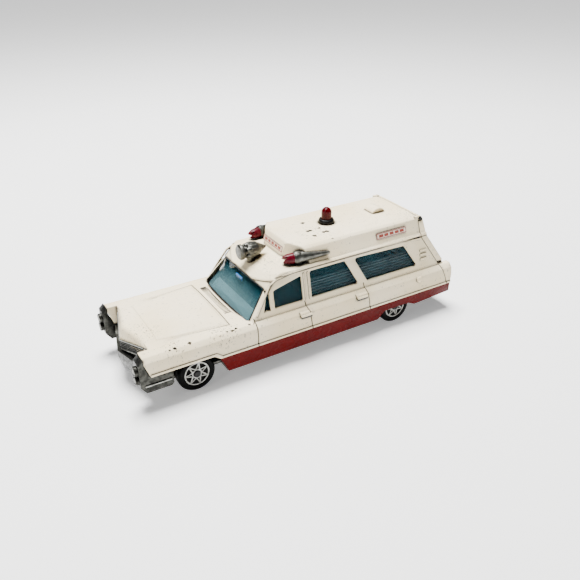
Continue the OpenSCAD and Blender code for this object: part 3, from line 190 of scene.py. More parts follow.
def finish(name, **sockets):
    """A material with its shader's own sockets set, its tree, its shader and the object's coordinates."""
    material = bpy.data.materials.new(name)
    material.use_nodes = True
    tree = material.node_tree
    shader = tree.nodes["Principled BSDF"]
    for socket, value in sockets.items():
        shader.inputs[socket.replace("_", " ")].default_value = value
    return material, tree, shader, add(tree, "TexCoord", out="Object")


# Materials

def sprayed_enamel():
    """Gloss enamel sprayed on a zinc casting: cream over dark red, painted shade and grime in its lines, and
    chips to dark metal.
    """
    material, tree, shader, place = finish(
        "gloss_enamel_sprayed_on_casting", IOR=1.5, Specular_IOR_Level=0.05)
    split = add(tree, "SeparateXYZ", {"Vector": place}).node.outputs
    # Two coats, each a little uneven, that meet in a line which wanders up and down
    wander = add(tree, "TexNoise", {"Vector": place, "Scale": 1 / (2.5 * mm), "Detail": 3})
    height = add(tree, "Math", {0: wander, 1: line_wander * mm, 2: split["Z"]}, operation="MULTIPLY_ADD")
    above = add(tree, "MapRange", {0: height, 1: red_head * mm, 2: cream_foot * mm}, **eased)
    yellowed = add(tree, "TexNoise", {"Vector": place, "Scale": 1 / (18 * mm), "Detail": 3})
    yellowed = add(tree, "MapRange", {0: yellowed, 1: 0.35, 2: 0.7}, **eased)
    cream = add(tree, "Mix", {0: yellowed, 6: linear("F5E6C6"), 7: linear("EFDDB6")}, **mixed)
    faded = add(tree, "TexNoise", {"Vector": place, "Scale": 1 / (6 * mm), "Detail": 3})
    faded = add(tree, "MapRange", {0: faded, 1: 0.3, 2: 0.7}, **eased)
    red = add(tree, "Mix", {0: faded, 6: linear("540000"), 7: linear("4C0000")}, **mixed)
    paint = add(tree, "Mix", {0: above, 6: red, 7: cream}, **mixed)
    # Painted shade with grime in the shut lines, painted shade inside the casting and a painted shadow line
    # under the drip rail
    grime_and_shade = add(tree, "AmbientOcclusion", {"Distance": 1.7 * mm}, "AO", samples=8)
    grime_and_shade = add(tree, "MapRange", {0: grime_and_shade, 1: 0.6, 2: 0.96, 3: 0.97, 4: 0.0}, **eased)
    paint = add(tree, "Mix", {0: grime_and_shade, 6: paint, 7: linear("2A2622")}, **mixed)
    # Painted shade: the inside of the casting darkens towards near black where it is enclosed
    inside = add(tree, "AmbientOcclusion", {"Distance": 28 * mm}, "AO", samples=8)
    inside = add(tree, "MapRange", {0: inside, 1: 0.08, 2: 0.3, 3: 0.92, 4: 0.0}, **eased)
    paint = add(tree, "Mix", {0: inside, 6: paint, 7: linear("0D0F10")}, **mixed)
    # Painted shadow: a dark line under the drip rail on the outer sides
    outer = add(tree, "Math", {0: split["Y"]}, operation="ABSOLUTE")
    outer = add(tree, "Math", {0: outer, 1: rail_side * mm}, operation="GREATER_THAN")
    rail = add(tree, "Math", {0: height, 1: rail_foot * mm, 2: rail_shadow_half * mm}, operation="COMPARE")
    rail = add(tree, "Math", {0: rail, 1: outer}, operation="MULTIPLY")
    rail = add(tree, "Math", {0: rail, 1: 0.8}, operation="MULTIPLY")
    paint = add(tree, "Mix", {0: rail, 6: paint, 7: linear("2A2622")}, **mixed)
    # Dust specks in the cream coat
    specks = add(tree, "TexNoise", {"Vector": place, "Scale": 1 / (0.9 * mm), "Detail": 3})
    specks = add(tree, "MapRange", {0: specks, 1: 0.64, 2: 0.69, 3: 0.0, 4: 0.6}, **eased)
    specks = add(tree, "Math", {0: specks, 1: above}, operation="MULTIPLY")
    paint = add(tree, "Mix", {0: specks, 6: paint, 7: linear("8D8474")}, **mixed)
    # Chips with ragged edges, and small flakes that thin out round the worn zones
    ragged = add(tree, "TexNoise", {"Vector": place, "Scale": 1 / (0.8 * mm), "Detail": 3})
    ragged = add(tree, "Math", {0: ragged, 1: 0.5}, operation="SUBTRACT")
    ragged = add(tree, "Math", {0: ragged, 1: chip_ragged * mm}, operation="MULTIPLY")
    flakes = add(tree, "TexNoise", {"Vector": place, "Scale": 1 / (0.7 * mm), "Detail": 3})
    flakes = add(tree, "MapRange", {0: flakes, 1: 0.6, 2: 0.63}, **eased)
    chipped = 0.0
    for spot, radius in chips:
        away = add(tree, "VectorMath", {0: place, 1: Vector(spot) * mm}, "Value", operation="DISTANCE")
        away = add(tree, "Math", {0: away, 1: ragged}, operation="ADD")
        bare = add(tree, "Math", {0: away, 1: chip_share * radius * mm}, operation="LESS_THAN")
        chipped = add(tree, "Math", {0: bare, 1: chipped}, operation="MAXIMUM")
    for spot, reach in worn_zones:
        away = add(tree, "VectorMath", {0: place, 1: Vector(spot) * mm}, "Value", operation="DISTANCE")
        core = worn_core * reach
        near = add(tree, "MapRange", {0: away, 1: core * mm, 2: reach * mm, 3: 0.75, 4: 0.0}, **eased)
        bare = add(tree, "Math", {0: near, 1: flakes}, operation="MULTIPLY")
        chipped = add(tree, "Math", {0: bare, 1: chipped}, operation="MAXIMUM")
    paint = add(tree, "Mix", {0: chipped, 6: paint, 7: linear("1D1A17")}, **mixed)
    tree.links.new(paint, shader.inputs["Base Color"])
    # Gloss that has dulled in patches, and the faint waviness of sprayed paint
    dulled = add(tree, "TexNoise", {"Vector": place, "Scale": 1 / (5 * mm), "Detail": 3})
    dulled = add(tree, "MapRange", {0: dulled, 1: 0.3, 2: 0.75, 3: 0.2, 4: 0.36}, **eased)
    rough = add(tree, "Math", {0: chipped, 1: 0.7}, operation="MULTIPLY")
    rough = add(tree, "Math", {0: dulled, 1: rough}, operation="MAXIMUM")
    tree.links.new(rough, shader.inputs["Roughness"])
    waves = add(tree, "TexNoise", {"Vector": place, "Scale": 1 / (1.6 * mm), "Detail": 1})
    waves = add(tree, "Math", {0: chipped, 1: -2.0, 2: waves}, operation="MULTIPLY_ADD")
    soft = add(tree, "Bevel", {"Radius": 0.9 * mm}, samples=6)
    bump = add(tree, "Bump", {"Height": waves, "Distance": 0.006 * mm, "Normal": soft})
    tree.links.new(bump, shader.inputs["Normal"])
    return material


def dulled_plating(name, bright, dark, worn):
    """Plating that has gone dull: cloudy grey metal, grainy, with painted shade in its corners."""
    material, tree, shader, place = finish(name, Metallic=1.0)
    cloud = add(tree, "TexNoise", {"Vector": place, "Scale": 1 / (2.2 * mm), "Detail": 3})
    cloud = add(tree, "MapRange", {0: cloud, 1: 0.3, 2: 0.7}, **eased)
    metal = add(tree, "Mix", {0: cloud, 6: linear(bright), 7: linear(dark)}, **mixed)
    # Painted shade: the corners darken to the last colour given
    painted_corner_shade = add(tree, "AmbientOcclusion", {"Distance": 1.6 * mm}, "AO", samples=8)
    painted_corner_shade = add(tree, "MapRange", {0: painted_corner_shade, 1: 0.4, 2: 0.92, 3: 0.95, 4: 0.0}, **eased)
    metal = add(tree, "Mix", {0: painted_corner_shade, 6: metal, 7: linear(worn)}, **mixed)
    tree.links.new(metal, shader.inputs["Base Color"])
    dulled = add(tree, "TexNoise", {"Vector": place, "Scale": 1 / (1.1 * mm), "Detail": 3})
    dulled = add(tree, "MapRange", {0: dulled, 1: 0.3, 2: 0.7, 3: 0.3, 4: 0.5}, **eased)
    tree.links.new(dulled, shader.inputs["Roughness"])
    # The real grain is finer, and is drawn as coarse as it needs to show
    grain = add(tree, "TexNoise", {"Vector": place, "Scale": 1 / (0.7 * mm), "Detail": 3})
    soft = add(tree, "Bevel", {"Radius": 0.15 * mm}, samples=6)
    bump = add(tree, "Bump", {"Height": grain, "Distance": 0.14 * mm, "Normal": soft})
    tree.links.new(bump, shader.inputs["Normal"])
    return material


def moulded_plastic(name, colour, shade, roughness, grain, corner_dust_and_shade="3B352E", **sockets):
    """Injection-moulded plastic: even colour with faint flow clouds, fine grain, and painted shade with dust
    in its corners.
    """
    material, tree, shader, place = finish(name, IOR=1.49, **sockets)
    cloud = add(tree, "TexNoise", {"Vector": place, "Scale": 1 / (4 * mm), "Detail": 3})
    cloud = add(tree, "MapRange", {0: cloud, 1: 0.3, 2: 0.7}, **eased)
    plastic = add(tree, "Mix", {0: cloud, 6: linear(colour), 7: linear(shade)}, **mixed)
    # Painted shade with some dust: the corners darken to the last colour given
    dust_and_shade = add(tree, "AmbientOcclusion", {"Distance": 1.2 * mm}, "AO", samples=8)
    dust_and_shade = add(tree, "MapRange", {0: dust_and_shade, 1: 0.3, 2: 0.8, 3: 0.45, 4: 0.0}, **eased)
    plastic = add(tree, "Mix", {0: dust_and_shade, 6: plastic, 7: linear(corner_dust_and_shade)}, **mixed)
    tree.links.new(plastic, shader.inputs["Base Color"])
    worn = add(tree, "TexNoise", {"Vector": place, "Scale": 1 / (1.5 * mm), "Detail": 3})
    worn = add(tree, "MapRange", {0: worn, 1: 0.3, 2: 0.7, 3: roughness, 4: roughness + 0.14}, **eased)
    tree.links.new(worn, shader.inputs["Roughness"])
    tooth = add(tree, "TexNoise", {"Vector": place, "Scale": 1 / (grain * mm), "Detail": 3})
    soft = add(tree, "Bevel", {"Radius": 0.15 * mm}, samples=6)
    bump = add(tree, "Bump", {"Height": tooth, "Distance": 0.015 * mm, "Normal": soft})
    tree.links.new(bump, shader.inputs["Normal"])
    return material


def interior_plastic():
    """Dark turquoise moulding: a painted highlight along the crests of the slats, and a light shelf behind
    the windscreen.
    """
    material = moulded_plastic("turquoise_interior_plastic_moulded", "3F666D", "355A61", 0.4, 0.6)
    tree = material.node_tree
    shader = tree.nodes["Principled BSDF"]
    plastic = shader.inputs["Base Color"].links[0].from_socket
    split = add(tree, "SeparateXYZ", {"Vector": add(tree, "TexCoord", out="Object")}).node.outputs
    # Painted highlight: the slats' crests lighter, as if lit from above
    slat = add(tree, "Math", {0: split["Z"], 1: slat_foot * mm}, operation="SUBTRACT")
    slat = add(tree, "Math", {0: slat, 1: slat_pitch * mm}, operation="DIVIDE")
    slat = add(tree, "Math", {0: slat}, operation="FRACT")
    crest_highlight = add(tree, "Math", {0: slat, 1: crest_middle, 2: crest_half}, operation="COMPARE")
    beside = add(tree, "Math", {0: split["Y"]}, operation="ABSOLUTE")
    beside = add(tree, "Math", {0: beside, 1: slat_side * mm}, operation="GREATER_THAN")
    raised = add(tree, "Math", {0: split["Z"], 1: (slat_foot - slat_pitch) * mm}, operation="GREATER_THAN")
    crest_highlight = add(tree, "Math", {0: crest_highlight, 1: beside}, operation="MULTIPLY")
    crest_highlight = add(tree, "Math", {0: crest_highlight, 1: raised}, operation="MULTIPLY")
    plastic = add(tree, "Mix", {0: crest_highlight, 6: plastic, 7: linear("F4FFFF")}, **mixed)
    shelf = add(tree, "MapRange", {0: split["X"], 1: shelf_from * mm, 2: shelf_to * mm}, **eased)
    plastic = add(tree, "Mix", {0: shelf, 6: plastic, 7: linear("A6E0EA")}, **mixed)
    tree.links.new(plastic, shader.inputs["Base Color"])
    return material


def turned_steel(name, colour, shade):
    """Turned and cropped steel: bright metal with a film of age and a fine grain."""
    material, tree, shader, place = finish(name, Metallic=1.0)
    film = add(tree, "TexNoise", {"Vector": place, "Scale": 1 / (1.2 * mm), "Detail": 3})
    film = add(tree, "MapRange", {0: film, 1: 0.35, 2: 0.7}, **eased)
    steel = add(tree, "Mix", {0: film, 6: linear(colour), 7: linear(shade)}, **mixed)
    tree.links.new(steel, shader.inputs["Base Color"])
    dulled = add(tree, "TexNoise", {"Vector": place, "Scale": 1 / (0.5 * mm), "Detail": 3})
    dulled = add(tree, "MapRange", {0: dulled, 1: 0.3, 2: 0.7, 3: 0.3, 4: 0.5}, **eased)
    tree.links.new(dulled, shader.inputs["Roughness"])
    grain = add(tree, "TexNoise", {"Vector": place, "Scale": 1 / (0.3 * mm), "Detail": 3})
    soft = add(tree, "Bevel", {"Radius": 0.15 * mm}, samples=6)
    bump = add(tree, "Bump", {"Height": grain, "Distance": 0.01 * mm, "Normal": soft})
    tree.links.new(bump, shader.inputs["Normal"])
    return material


def tinted_clear():
    """Clear moulding with a blue-green tint, lighter and greyer in the windscreen as painted light: half
    see-through, scuffed, glossy.
    """
    material, tree, shader, place = finish(
        "tinted_clear_plastic_moulded", IOR=1.49, Alpha=0.5, Specular_IOR_Level=0.1)
    cloud = add(tree, "TexNoise", {"Vector": place, "Scale": 1 / (9 * mm), "Detail": 3})
    cloud = add(tree, "MapRange", {0: cloud, 1: 0.3, 2: 0.7}, **eased)
    clear = add(tree, "Mix", {0: cloud, 6: linear("0A3A44"), 7: linear("062A34")}, **mixed)
    # Painted light: the windscreen lighter and greyer than the side glass
    painted_screen_light = add(tree, "SeparateXYZ", {"Vector": place}, "X")
    painted_screen_light = add(tree, "MapRange", {0: painted_screen_light, 1: screen_light_from * mm, 2: screen_light_to * mm}, **eased)
    clear = add(tree, "Mix", {0: painted_screen_light, 6: clear, 7: linear("547378")}, **mixed)
    tree.links.new(clear, shader.inputs["Base Color"])
    scuffed = add(tree, "TexNoise", {"Vector": place, "Scale": 1 / (2 * mm), "Detail": 3})
    scuffed = add(tree, "MapRange", {0: scuffed, 1: 0.35, 2: 0.75, 3: 0.1, 4: 0.24}, **eased)
    tree.links.new(scuffed, shader.inputs["Roughness"])
    waves = add(tree, "TexNoise", {"Vector": place, "Scale": 1 / (5 * mm), "Detail": 1})
    soft = add(tree, "Bevel", {"Radius": 0.15 * mm}, samples=6)
    bump = add(tree, "Bump", {"Height": waves, "Distance": 0.02 * mm, "Normal": soft})
    tree.links.new(bump, shader.inputs["Normal"])
    return material


def printed_paper():
    """Gloss paper, printed: off-white with a dull red rule and plain bars from the piece's own print map."""
    material, tree, shader, place = finish("gloss_paper_label_printed", IOR=1.5)
    bleed = add(tree, "TexNoise", {"Vector": place, "Scale": 1 / (0.5 * mm), "Detail": 3})
    inked = add(tree, "Attribute", out="Fac", attribute_name="print")
    inked = add(tree, "Math", {0: bleed, 1: 0.1, 2: inked}, operation="MULTIPLY_ADD")
    inked = add(tree, "MapRange", {0: inked, 1: 0.5, 2: 0.62}, **eased)
    cloud = add(tree, "TexNoise", {"Vector": place, "Scale": 1 / (3 * mm), "Detail": 3})
    cloud = add(tree, "MapRange", {0: cloud, 1: 0.35, 2: 0.7}, **eased)
    paper = add(tree, "Mix", {0: cloud, 6: linear("E9DCCB"), 7: linear("DECDB8")}, **mixed)
    thin = add(tree, "TexNoise", {"Vector": place, "Scale": 1 / (1 * mm), "Detail": 3})
    thin = add(tree, "MapRange", {0: thin, 1: 0.3, 2: 0.7}, **eased)
    ink = add(tree, "Mix", {0: thin, 6: linear("96382C"), 7: linear("7E2C22")}, **mixed)
    paper = add(tree, "Mix", {0: inked, 6: paper, 7: ink}, **mixed)
    tree.links.new(paper, shader.inputs["Base Color"])
    dulled = add(tree, "TexNoise", {"Vector": place, "Scale": 1 / (2 * mm), "Detail": 3})
    dulled = add(tree, "MapRange", {0: dulled, 1: 0.3, 2: 0.7, 3: 0.35, 4: 0.5}, **eased)
    tree.links.new(dulled, shader.inputs["Roughness"])
    tooth = add(tree, "TexNoise", {"Vector": place, "Scale": 1 / (0.4 * mm), "Detail": 3})
    soft = add(tree, "Bevel", {"Radius": 0.15 * mm}, samples=6)
    bump = add(tree, "Bump", {"Height": tooth, "Distance": 0.01 * mm, "Normal": soft})
    tree.links.new(bump, shader.inputs["Normal"])
    return material


def pale_floor():
    """Matt white board, lit from behind away from the toy: nearly even, with faint clouds in its coating."""
    material, tree, shader, place = finish(
        "white_board_coated_matt", Roughness=0.9, IOR=1.45, Emission_Color=(1, 1, 1, 1))
    cloud = add(tree, "TexNoise", {"Vector": place, "Scale": 1 / (60 * mm), "Detail": 3})
    board = add(tree, "Mix", {0: cloud, 6: linear("F6F6F5"), 7: linear("F2F2F1")}, **mixed)
    tree.links.new(board, shader.inputs["Base Color"])
    away = add(tree, "VectorMath", {0: place}, "Value", operation="LENGTH")
    glow = add(tree, "MapRange", {0: away, 1: glow_from * mm, 2: glow_to * mm, 3: 0.34, 4: 0.95}, **eased)
    tree.links.new(glow, shader.inputs["Emission Strength"])
    return material


# Finishes by the record's slots
materials = {
    "cream_enamel": sprayed_enamel(),
    # Tin plate, pressed: grey metal gone cloudy, with painted shade in its corners
    "bare_casting": dulled_plating("pressed_tin_plate_dulled", "75756F", "5C5B57", "2C2A27"),
    # Screw steel, turned: bright heads under a film of age
    "screw_steel": turned_steel("turned_screw_steel", "9A9A96", "6F6E6A"),
    # Pin steel, blackened: nearly black, with a faint sheen
    "pin_steel": turned_steel("blackened_pin_steel", "2A2927", "1A1918"),
    # Plated plastic: dark, grainy metal, with painted shade in its corners
    "plated_plastic": dulled_plating("plated_plastic_gone_dull", "474743", "262623", "050504"),
    # Lamp plastic, moulded: deep red and glossy, with dark red painted shade in its corners
    "red_plastic": moulded_plastic(
        "red_lamp_plastic_moulded", "4A0006", "340004", 0.16, 0.8, "160102", Specular_IOR_Level=0.14),
    "tinted_clear": tinted_clear(),
    "pale_plastic": interior_plastic(),
    # Seat plastic, moulded: pale turquoise, half matt
    "seat_plastic": moulded_plastic("seat_plastic_moulded", "8FB7BE", "79A4AC", 0.4, 0.6),
    # Black plastic, moulded: nearly black, half glossy
    "black_plastic": moulded_plastic(
        "black_plastic_moulded", "0B0B0C", "070708", 0.3, 0.5, Specular_IOR_Level=0.2),
    # Stretcher plastic, moulded: warm grey, half matt
    "stretcher_plastic": moulded_plastic("stretcher_plastic_moulded", "A9A49A", "938E85", 0.4, 0.6),
    # Pad plastic, moulded: off-white, half matt
    "white_plastic": moulded_plastic("white_pad_plastic_moulded", "E9E6DF", "DAD5CB", 0.45, 0.5),
    # Tyre plastic, moulded: black with hardly a highlight
    "wheel_plastic": moulded_plastic(
        "black_tyre_plastic_moulded", "030303", "010101", 0.4, 0.5, Specular_IOR_Level=0.05),
    # Foil on the wheels, stamped: light grey metal, with painted shade in its corners
    "face_foil": dulled_plating("stamped_wheel_foil", "A6A6A3", "85857F", "2A2A28"),
}
# Plated edges: light metal as a painted highlight, with faint painted shade in the corners
highlight_plating = dulled_plating("plated_edge_painted_highlight", "B4B4AE", "8A8A84", "6A6A65")
# Plated roof fittings: mid-grey metal with painted shade in its corners
roof_plating = dulled_plating("plated_roof_fittings_gone_dull", "6C6C66", "4C4C47", "12120F")
# Nose plastic, moulded: crimson and glossy, with dark painted shade in its corners
nose_red = moulded_plastic(
    "crimson_nose_plastic_moulded", "580618", "420410", 0.2, 0.8, "160104", Specular_IOR_Level=0.15)
# Lamp bulges, moulded: light grey with a clear highlight
lamp_glass = moulded_plastic(
    "grey_lamp_bulge_moulded", "9A9A94", "7E7E78", 0.25, 0.5, Specular_IOR_Level=0.4)
# Mirror plastic, moulded: bright blue
mirror_blue = moulded_plastic("blue_mirror_plastic_moulded", "2F79C4", "2467AC", 0.2, 0.6)
# Black, half glossy: painted shade and shadow in gaps, lines and slots
shade_black = moulded_plastic("black_painted_shade_half_gloss", "141618", "0B0C0D", 0.3, 0.4)
label_paper = printed_paper()

# A node's own finish, where it isn't its slot's, and its body and slot from the record
own_finish = {
    "siren": roof_plating, "left_roof_lamp": roof_plating, "right_roof_lamp": roof_plating,
    "left_lamp_nose": nose_red, "right_lamp_nose": nose_red}
node_body = {n: body for body, nodes in frame["record"]["behaviour"]["bodies"].items() for n in nodes}
node_slot = {row["node"]: row["material_slot"] for row in frame["record"]["subparts"]}


# Ways of making a piece

def piece(name, bm, slot, material=None, body="car", stands_for=None, crease=35.0):
    """A finished mesh as a piece on a body, in its slot's finish or its own, that may stand for a node."""
    mesh = bpy.data.meshes.new(name)
    bm.to_mesh(mesh)
    bm.free()
    mesh.materials.append(material or materials[slot])
    obj = bpy.data.objects.new(name, mesh)
    bpy.context.collection.objects.link(obj)
    mesh.shade_smooth()
    mesh.set_sharp_from_angle(angle=math.radians(crease))
    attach(obj, body)
    if stands_for:
        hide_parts(stands_for)
    return obj


def dress(node, bm, crease=35.0):
    """A piece that stands for a CAD node, with that node's body and its own or its slot's finish."""
    return piece(node + "_dressed", bm, node_slot[node], own_finish.get(node), node_body[node], node, crease)


def round_edges(bm, edges, width, steps):
    """Rounds some of a mesh's edges by a width in millimetres."""
    bmesh.ops.bevel(
        bm, geom=edges, offset=width * mm, offset_type="OFFSET", affect="EDGES", segments=steps, profile=0.5,
        clamp_overlap=True, material=-1)


def rounded_copy(node, width, steps=2, least=35.0):
    """A merged copy of a CAD node, flat faces joined up and sharp edges rounded by a width in millimetres."""
    bm = bmesh.new()
    bm.from_mesh(frame["nodes"][node].data)
    bmesh.ops.remove_doubles(bm, verts=bm.verts, dist=copy_merge * mm)
    bmesh.ops.dissolve_limit(bm, angle_limit=flat_bend, verts=bm.verts, edges=bm.edges)
    sharp = [e for e in bm.edges if len(e.link_faces) == 2 and e.calc_face_angle(0) > math.radians(least)]
    round_edges(bm, sharp, width, steps)
    return bm


def turned(outline, middle, axis=(1, 0, 0), steps=32):
    """A turned shape: (along, out) points in millimetres, spun fully round a level axis through a place."""
    bm = bmesh.new()
    points = [bm.verts.new((Vector(axis) * along + Vector((0, 0, out))) * mm) for along, out in outline]
    edges = [bm.edges.new(pair) for pair in zip(points, points[1:])]
    bmesh.ops.spin(
        bm, geom=points + edges, cent=(0, 0, 0), axis=axis, dvec=(0, 0, 0), angle=math.tau, steps=steps,
        use_merge=True)
    bmesh.ops.remove_doubles(bm, verts=bm.verts, dist=seam_merge * mm)
    bmesh.ops.recalc_face_normals(bm, faces=bm.faces)
    bmesh.ops.translate(bm, verts=bm.verts, vec=Vector(middle) * mm)
    return bm


def rounded_block(corner, opposite, width, steps=3):
    """A block between two opposite corners in millimetres, its edges rounded."""
    corner, opposite = Vector(corner), Vector(opposite)
    bm = bmesh.new()
    bmesh.ops.create_cube(bm, size=1.0)
    bmesh.ops.scale(bm, verts=bm.verts, vec=[abs(length) * mm for length in opposite - corner])
    bmesh.ops.translate(bm, verts=bm.verts, vec=(corner + opposite) / 2 * mm)
    round_edges(bm, list(bm.edges), width, steps)
    return bm


def thicken(bm, thickness):
    """Gives a sheet its thickness in millimetres, to either side, with its faces turned outwards."""
    bmesh.ops.solidify(bm, geom=list(bm.faces), thickness=thickness * mm)
    bmesh.ops.recalc_face_normals(bm, faces=bm.faces)
    return bm


def bead_along(points, radius, closed=False):
    """A thin round bead through points in millimetres, closed to a ring or with capped ends."""
    curve = bpy.data.curves.new("bead", "CURVE")
    curve.dimensions = "3D"
    curve.bevel_depth = radius * mm
    curve.bevel_resolution = 3
    line = curve.splines.new("POLY")
    line.points.add(len(points) - 1)
    for point, place in zip(line.points, points):
        point.co = (*(place * mm), 1)
    line.use_cyclic_u = closed
    curve.use_fill_caps = not closed
    holder = bpy.data.objects.new("bead", curve)
    bpy.context.collection.objects.link(holder)
    bm = bmesh.new()
    bm.from_mesh(holder.evaluated_get(bpy.context.evaluated_depsgraph_get()).to_mesh())
    bpy.data.objects.remove(holder)
    bmesh.ops.remove_doubles(bm, verts=bm.verts, dist=seam_merge * mm)
    bmesh.ops.recalc_face_normals(bm, faces=bm.faces)
    return bm


def join(parts):
    """Several meshes as one."""
    whole = bmesh.new()
    for bm in parts:
        mesh = bpy.data.meshes.new("join")
        bm.to_mesh(mesh)
        bm.free()
        whole.from_mesh(mesh)
        bpy.data.meshes.remove(mesh)
    return whole


def pulled_out(drawn):
    """The vertices among what an extrusion made."""
    return [v for v in drawn["geom"] if isinstance(v, bmesh.types.BMVert)]


# Casting with the scoop flattened, rear door and the rounded mouldings
casting_rounding = 0.12
casting_least = 28.0
casting_crease = 30.0
shell = rounded_copy("body_shell", casting_rounding, least=casting_least)
for vert in shell.verts:
    place = vert.co / mm
    if place.z > roof_top and abs(place.x - scoop_middle) < scoop_reach and abs(place.y) < scoop_reach:
        vert.co.z = roof_top * mm
dress("body_shell", shell, casting_crease)
dress("rear_door", rounded_copy("rear_door", casting_rounding, least=casting_least), casting_crease)
rounding = {
    "front_bumper": 0.25, "rear_bumper": 0.3, "siren": 0.2, "left_roof_lamp": 0.15, "right_roof_lamp": 0.15,
    "left_lamp_nose": 0.12, "right_lamp_nose": 0.12, "beacon_base": 0.2, "interior": 0.12, "front_seat": 0.5,
    "stretcher_frame": 0.15, "stretcher_pad": 0.5, "base_plate": 0.15, "base_screws": 0.12,
    "left_tail_lamp": 0.15, "right_tail_lamp": 0.15, "front_left_wheel": 0.4, "front_right_wheel": 0.4,
    "rear_left_wheel": 0.4, "rear_right_wheel": 0.4}
for node, width in rounding.items():
    dress(node, rounded_copy(node, width))

# Nodes that keep their own shape
for node in (
        "glazing", "rear_door_pane", "steering_wheel", "beacon_dome", "hinge_pin", "front_axle", "rear_axle"):
    frame["nodes"][node].data.materials.clear()
    frame["nodes"][node].data.materials.append(materials[node_slot[node]])

# Wheel faces: a rim and a hub ring with spokes that zigzag between them, and a black cap over the axle
face_rim = ((0, 4.65), (0.4, 4.65), (0.5, 4.8), (0.5, 5.1), (0.4, 5.25), (0, 5.25), (0, 4.65))
face_hub = ((0, 1.5), (0.4, 1.5), (0.5, 1.65), (0.5, 1.95), (0.4, 2.1), (0, 2.1), (0, 1.5))
hub_cap_outline = ((0, 0), (0, 1.4), (0.1, 1.35), (0.2, 1.0), (0.24, 0))
hub_cap_gap = 0.06
spokes = 14
spoke_reach = (4.8, 1.95)
spoke_half = 0.27
spoke_back, spoke_front = 0.03, 0.42
spoke_rounding = 0.12
for end in ("front", "rear"):
    axle_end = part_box(end + "_axle")[1].y / mm
    for word, side in sides:
        wheel = end + "_" + word
        low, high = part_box(wheel + "_face")
        middle = (low + high) / 2 / mm
        middle.y = side * min(abs(low.y), abs(high.y)) / mm
        across = (0, side, 0)
        parts = [turned(outline, middle, across, 48) for outline in (face_rim, face_hub)]
        for k in range(spokes):
            joints = []
            for step in (k, k + 1):
                turn = math.tau * step / spokes
                joints.append(Vector((math.cos(turn), 0, math.sin(turn))) * spoke_reach[step % 2])
            along = joints[1] - joints[0]
            half = along.length / 2
            low = (-half, side * spoke_back, -spoke_half)
            high = (half, side * spoke_front, spoke_half)
            spoke = rounded_block(low, high, spoke_rounding, 2)
            lie = Matrix.Rotation(-math.atan2(along.z, along.x), 3, "Y")
            bmesh.ops.rotate(spoke, verts=spoke.verts, cent=(0, 0, 0), matrix=lie)
            place = middle + (joints[0] + joints[1]) / 2
            bmesh.ops.translate(spoke, verts=spoke.verts, vec=place * mm)
            parts.append(spoke)
        dress(wheel + "_face", join(parts))
        hub_cap_start = axle_end + hub_cap_gap - abs(middle.y)
        cap = turned([(hub_cap_start + along, out) for along, out in hub_cap_outline], middle, across)
        piece(wheel + "_hub_cap", cap, "black_plastic", body=node_body[wheel + "_wheel"])

# Headlamps: two plated bezels with a bulging lens on each side
bezel = ((-1.6, 2.0), (0.2, 2.0), (0.5, 1.85), (0.5, 1.55), (0.1, 1.45))
bulge = ((-0.1, 1.5), (0.3, 1.3), (0.6, 0.8), (0.72, 0.0))
bezel_inset = 0.1
lamp_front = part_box("front_bumper")[1].x / mm - bezel_inset
lamp_side = 21.6
lamp_heights = {"upper": 17.4, "lower": 13.5}
for word, side in sides:
    for row, height in lamp_heights.items():
        middle = (lamp_front, side * lamp_side, height)
        piece(word + "_" + row + "_bezel", turned(bezel, middle), "plated_plastic")
        piece(word + "_" + row + "_lens", turned(bulge, middle), "plated_plastic", lamp_glass)


# Crowned hood: a panel a little proud of the casting inside its shut lines, and a nose that rolls to a lip

def hood_half(x):
    """Half the hood's width between its shut lines at a distance forward."""
    share = (x - hood_rear) / (nose_corner.x - hood_rear)
    return hood_rear_half + (hood_front_half - hood_rear_half) * share


def hood_skin(x, y):
    """Height of the crowned hood over a place."""
    inside = min(hood_half(x) - abs(y), x - hood_rear) - shut_margin
    near = 1 - min(max(inside / crown_run, 0), 1)
    casting = hood_top - hood_fall * max(abs(y) - hood_flat_half, 0)
    return casting + skin_lift + crown_rise * (1 - near ** 2)


def nose_lip(y):
    """The pointed lip under the nose at a distance from the middle."""
    lip = nose_point.lerp(nose_corner, min(abs(y) / nose_corner.y, 1))
    return Vector((lip.x, y, lip.z))


panel_back = hood_rear + shut_margin
panel_front = nose_back + nose_overlap
panel = bmesh.new()
bmesh.ops.create_grid(panel, x_segments=skin_grid, y_segments=skin_grid, size=0.5)
for vert in panel.verts:
    x = panel_back + (panel_front - panel_back) * (vert.co.x + 0.5)
    y = 2 * vert.co.y * (hood_half(x) - shut_margin)
    vert.co = Vector((x, y, hood_skin(x, y))) * mm
piece("hood_panel", thicken(panel, skin_thick), "cream_enamel", crease=skin_crease)

nose_lift = 0.01
brow_inset = 3.0
knee_inset = 0.5
brow_share = 0.25
nose = bmesh.new()
bmesh.ops.create_grid(nose, x_segments=nose_grid, y_segments=skin_grid, size=0.5)
for vert in nose.verts:
    y = 2 * vert.co.y * nose_corner.y
    lip_point = nose_lip(y)
    top = Vector((nose_back, y, hood_skin(nose_back, y) + nose_lift))
    brow = Vector((lip_point.x - brow_inset, y, top.z))
    knee = Vector((lip_point.x - knee_inset, y, top.z))
    share = vert.co.x + 0.5
    if share < brow_share:
        point = top.lerp(brow, share / brow_share)
    else:
        roll = (share - brow_share) / (1 - brow_share)
        point = brow.lerp(knee, roll).lerp(knee.lerp(lip_point, roll), roll)
    vert.co = point * mm
piece("hood_nose", thicken(nose, skin_thick), "cream_enamel", crease=skin_crease)

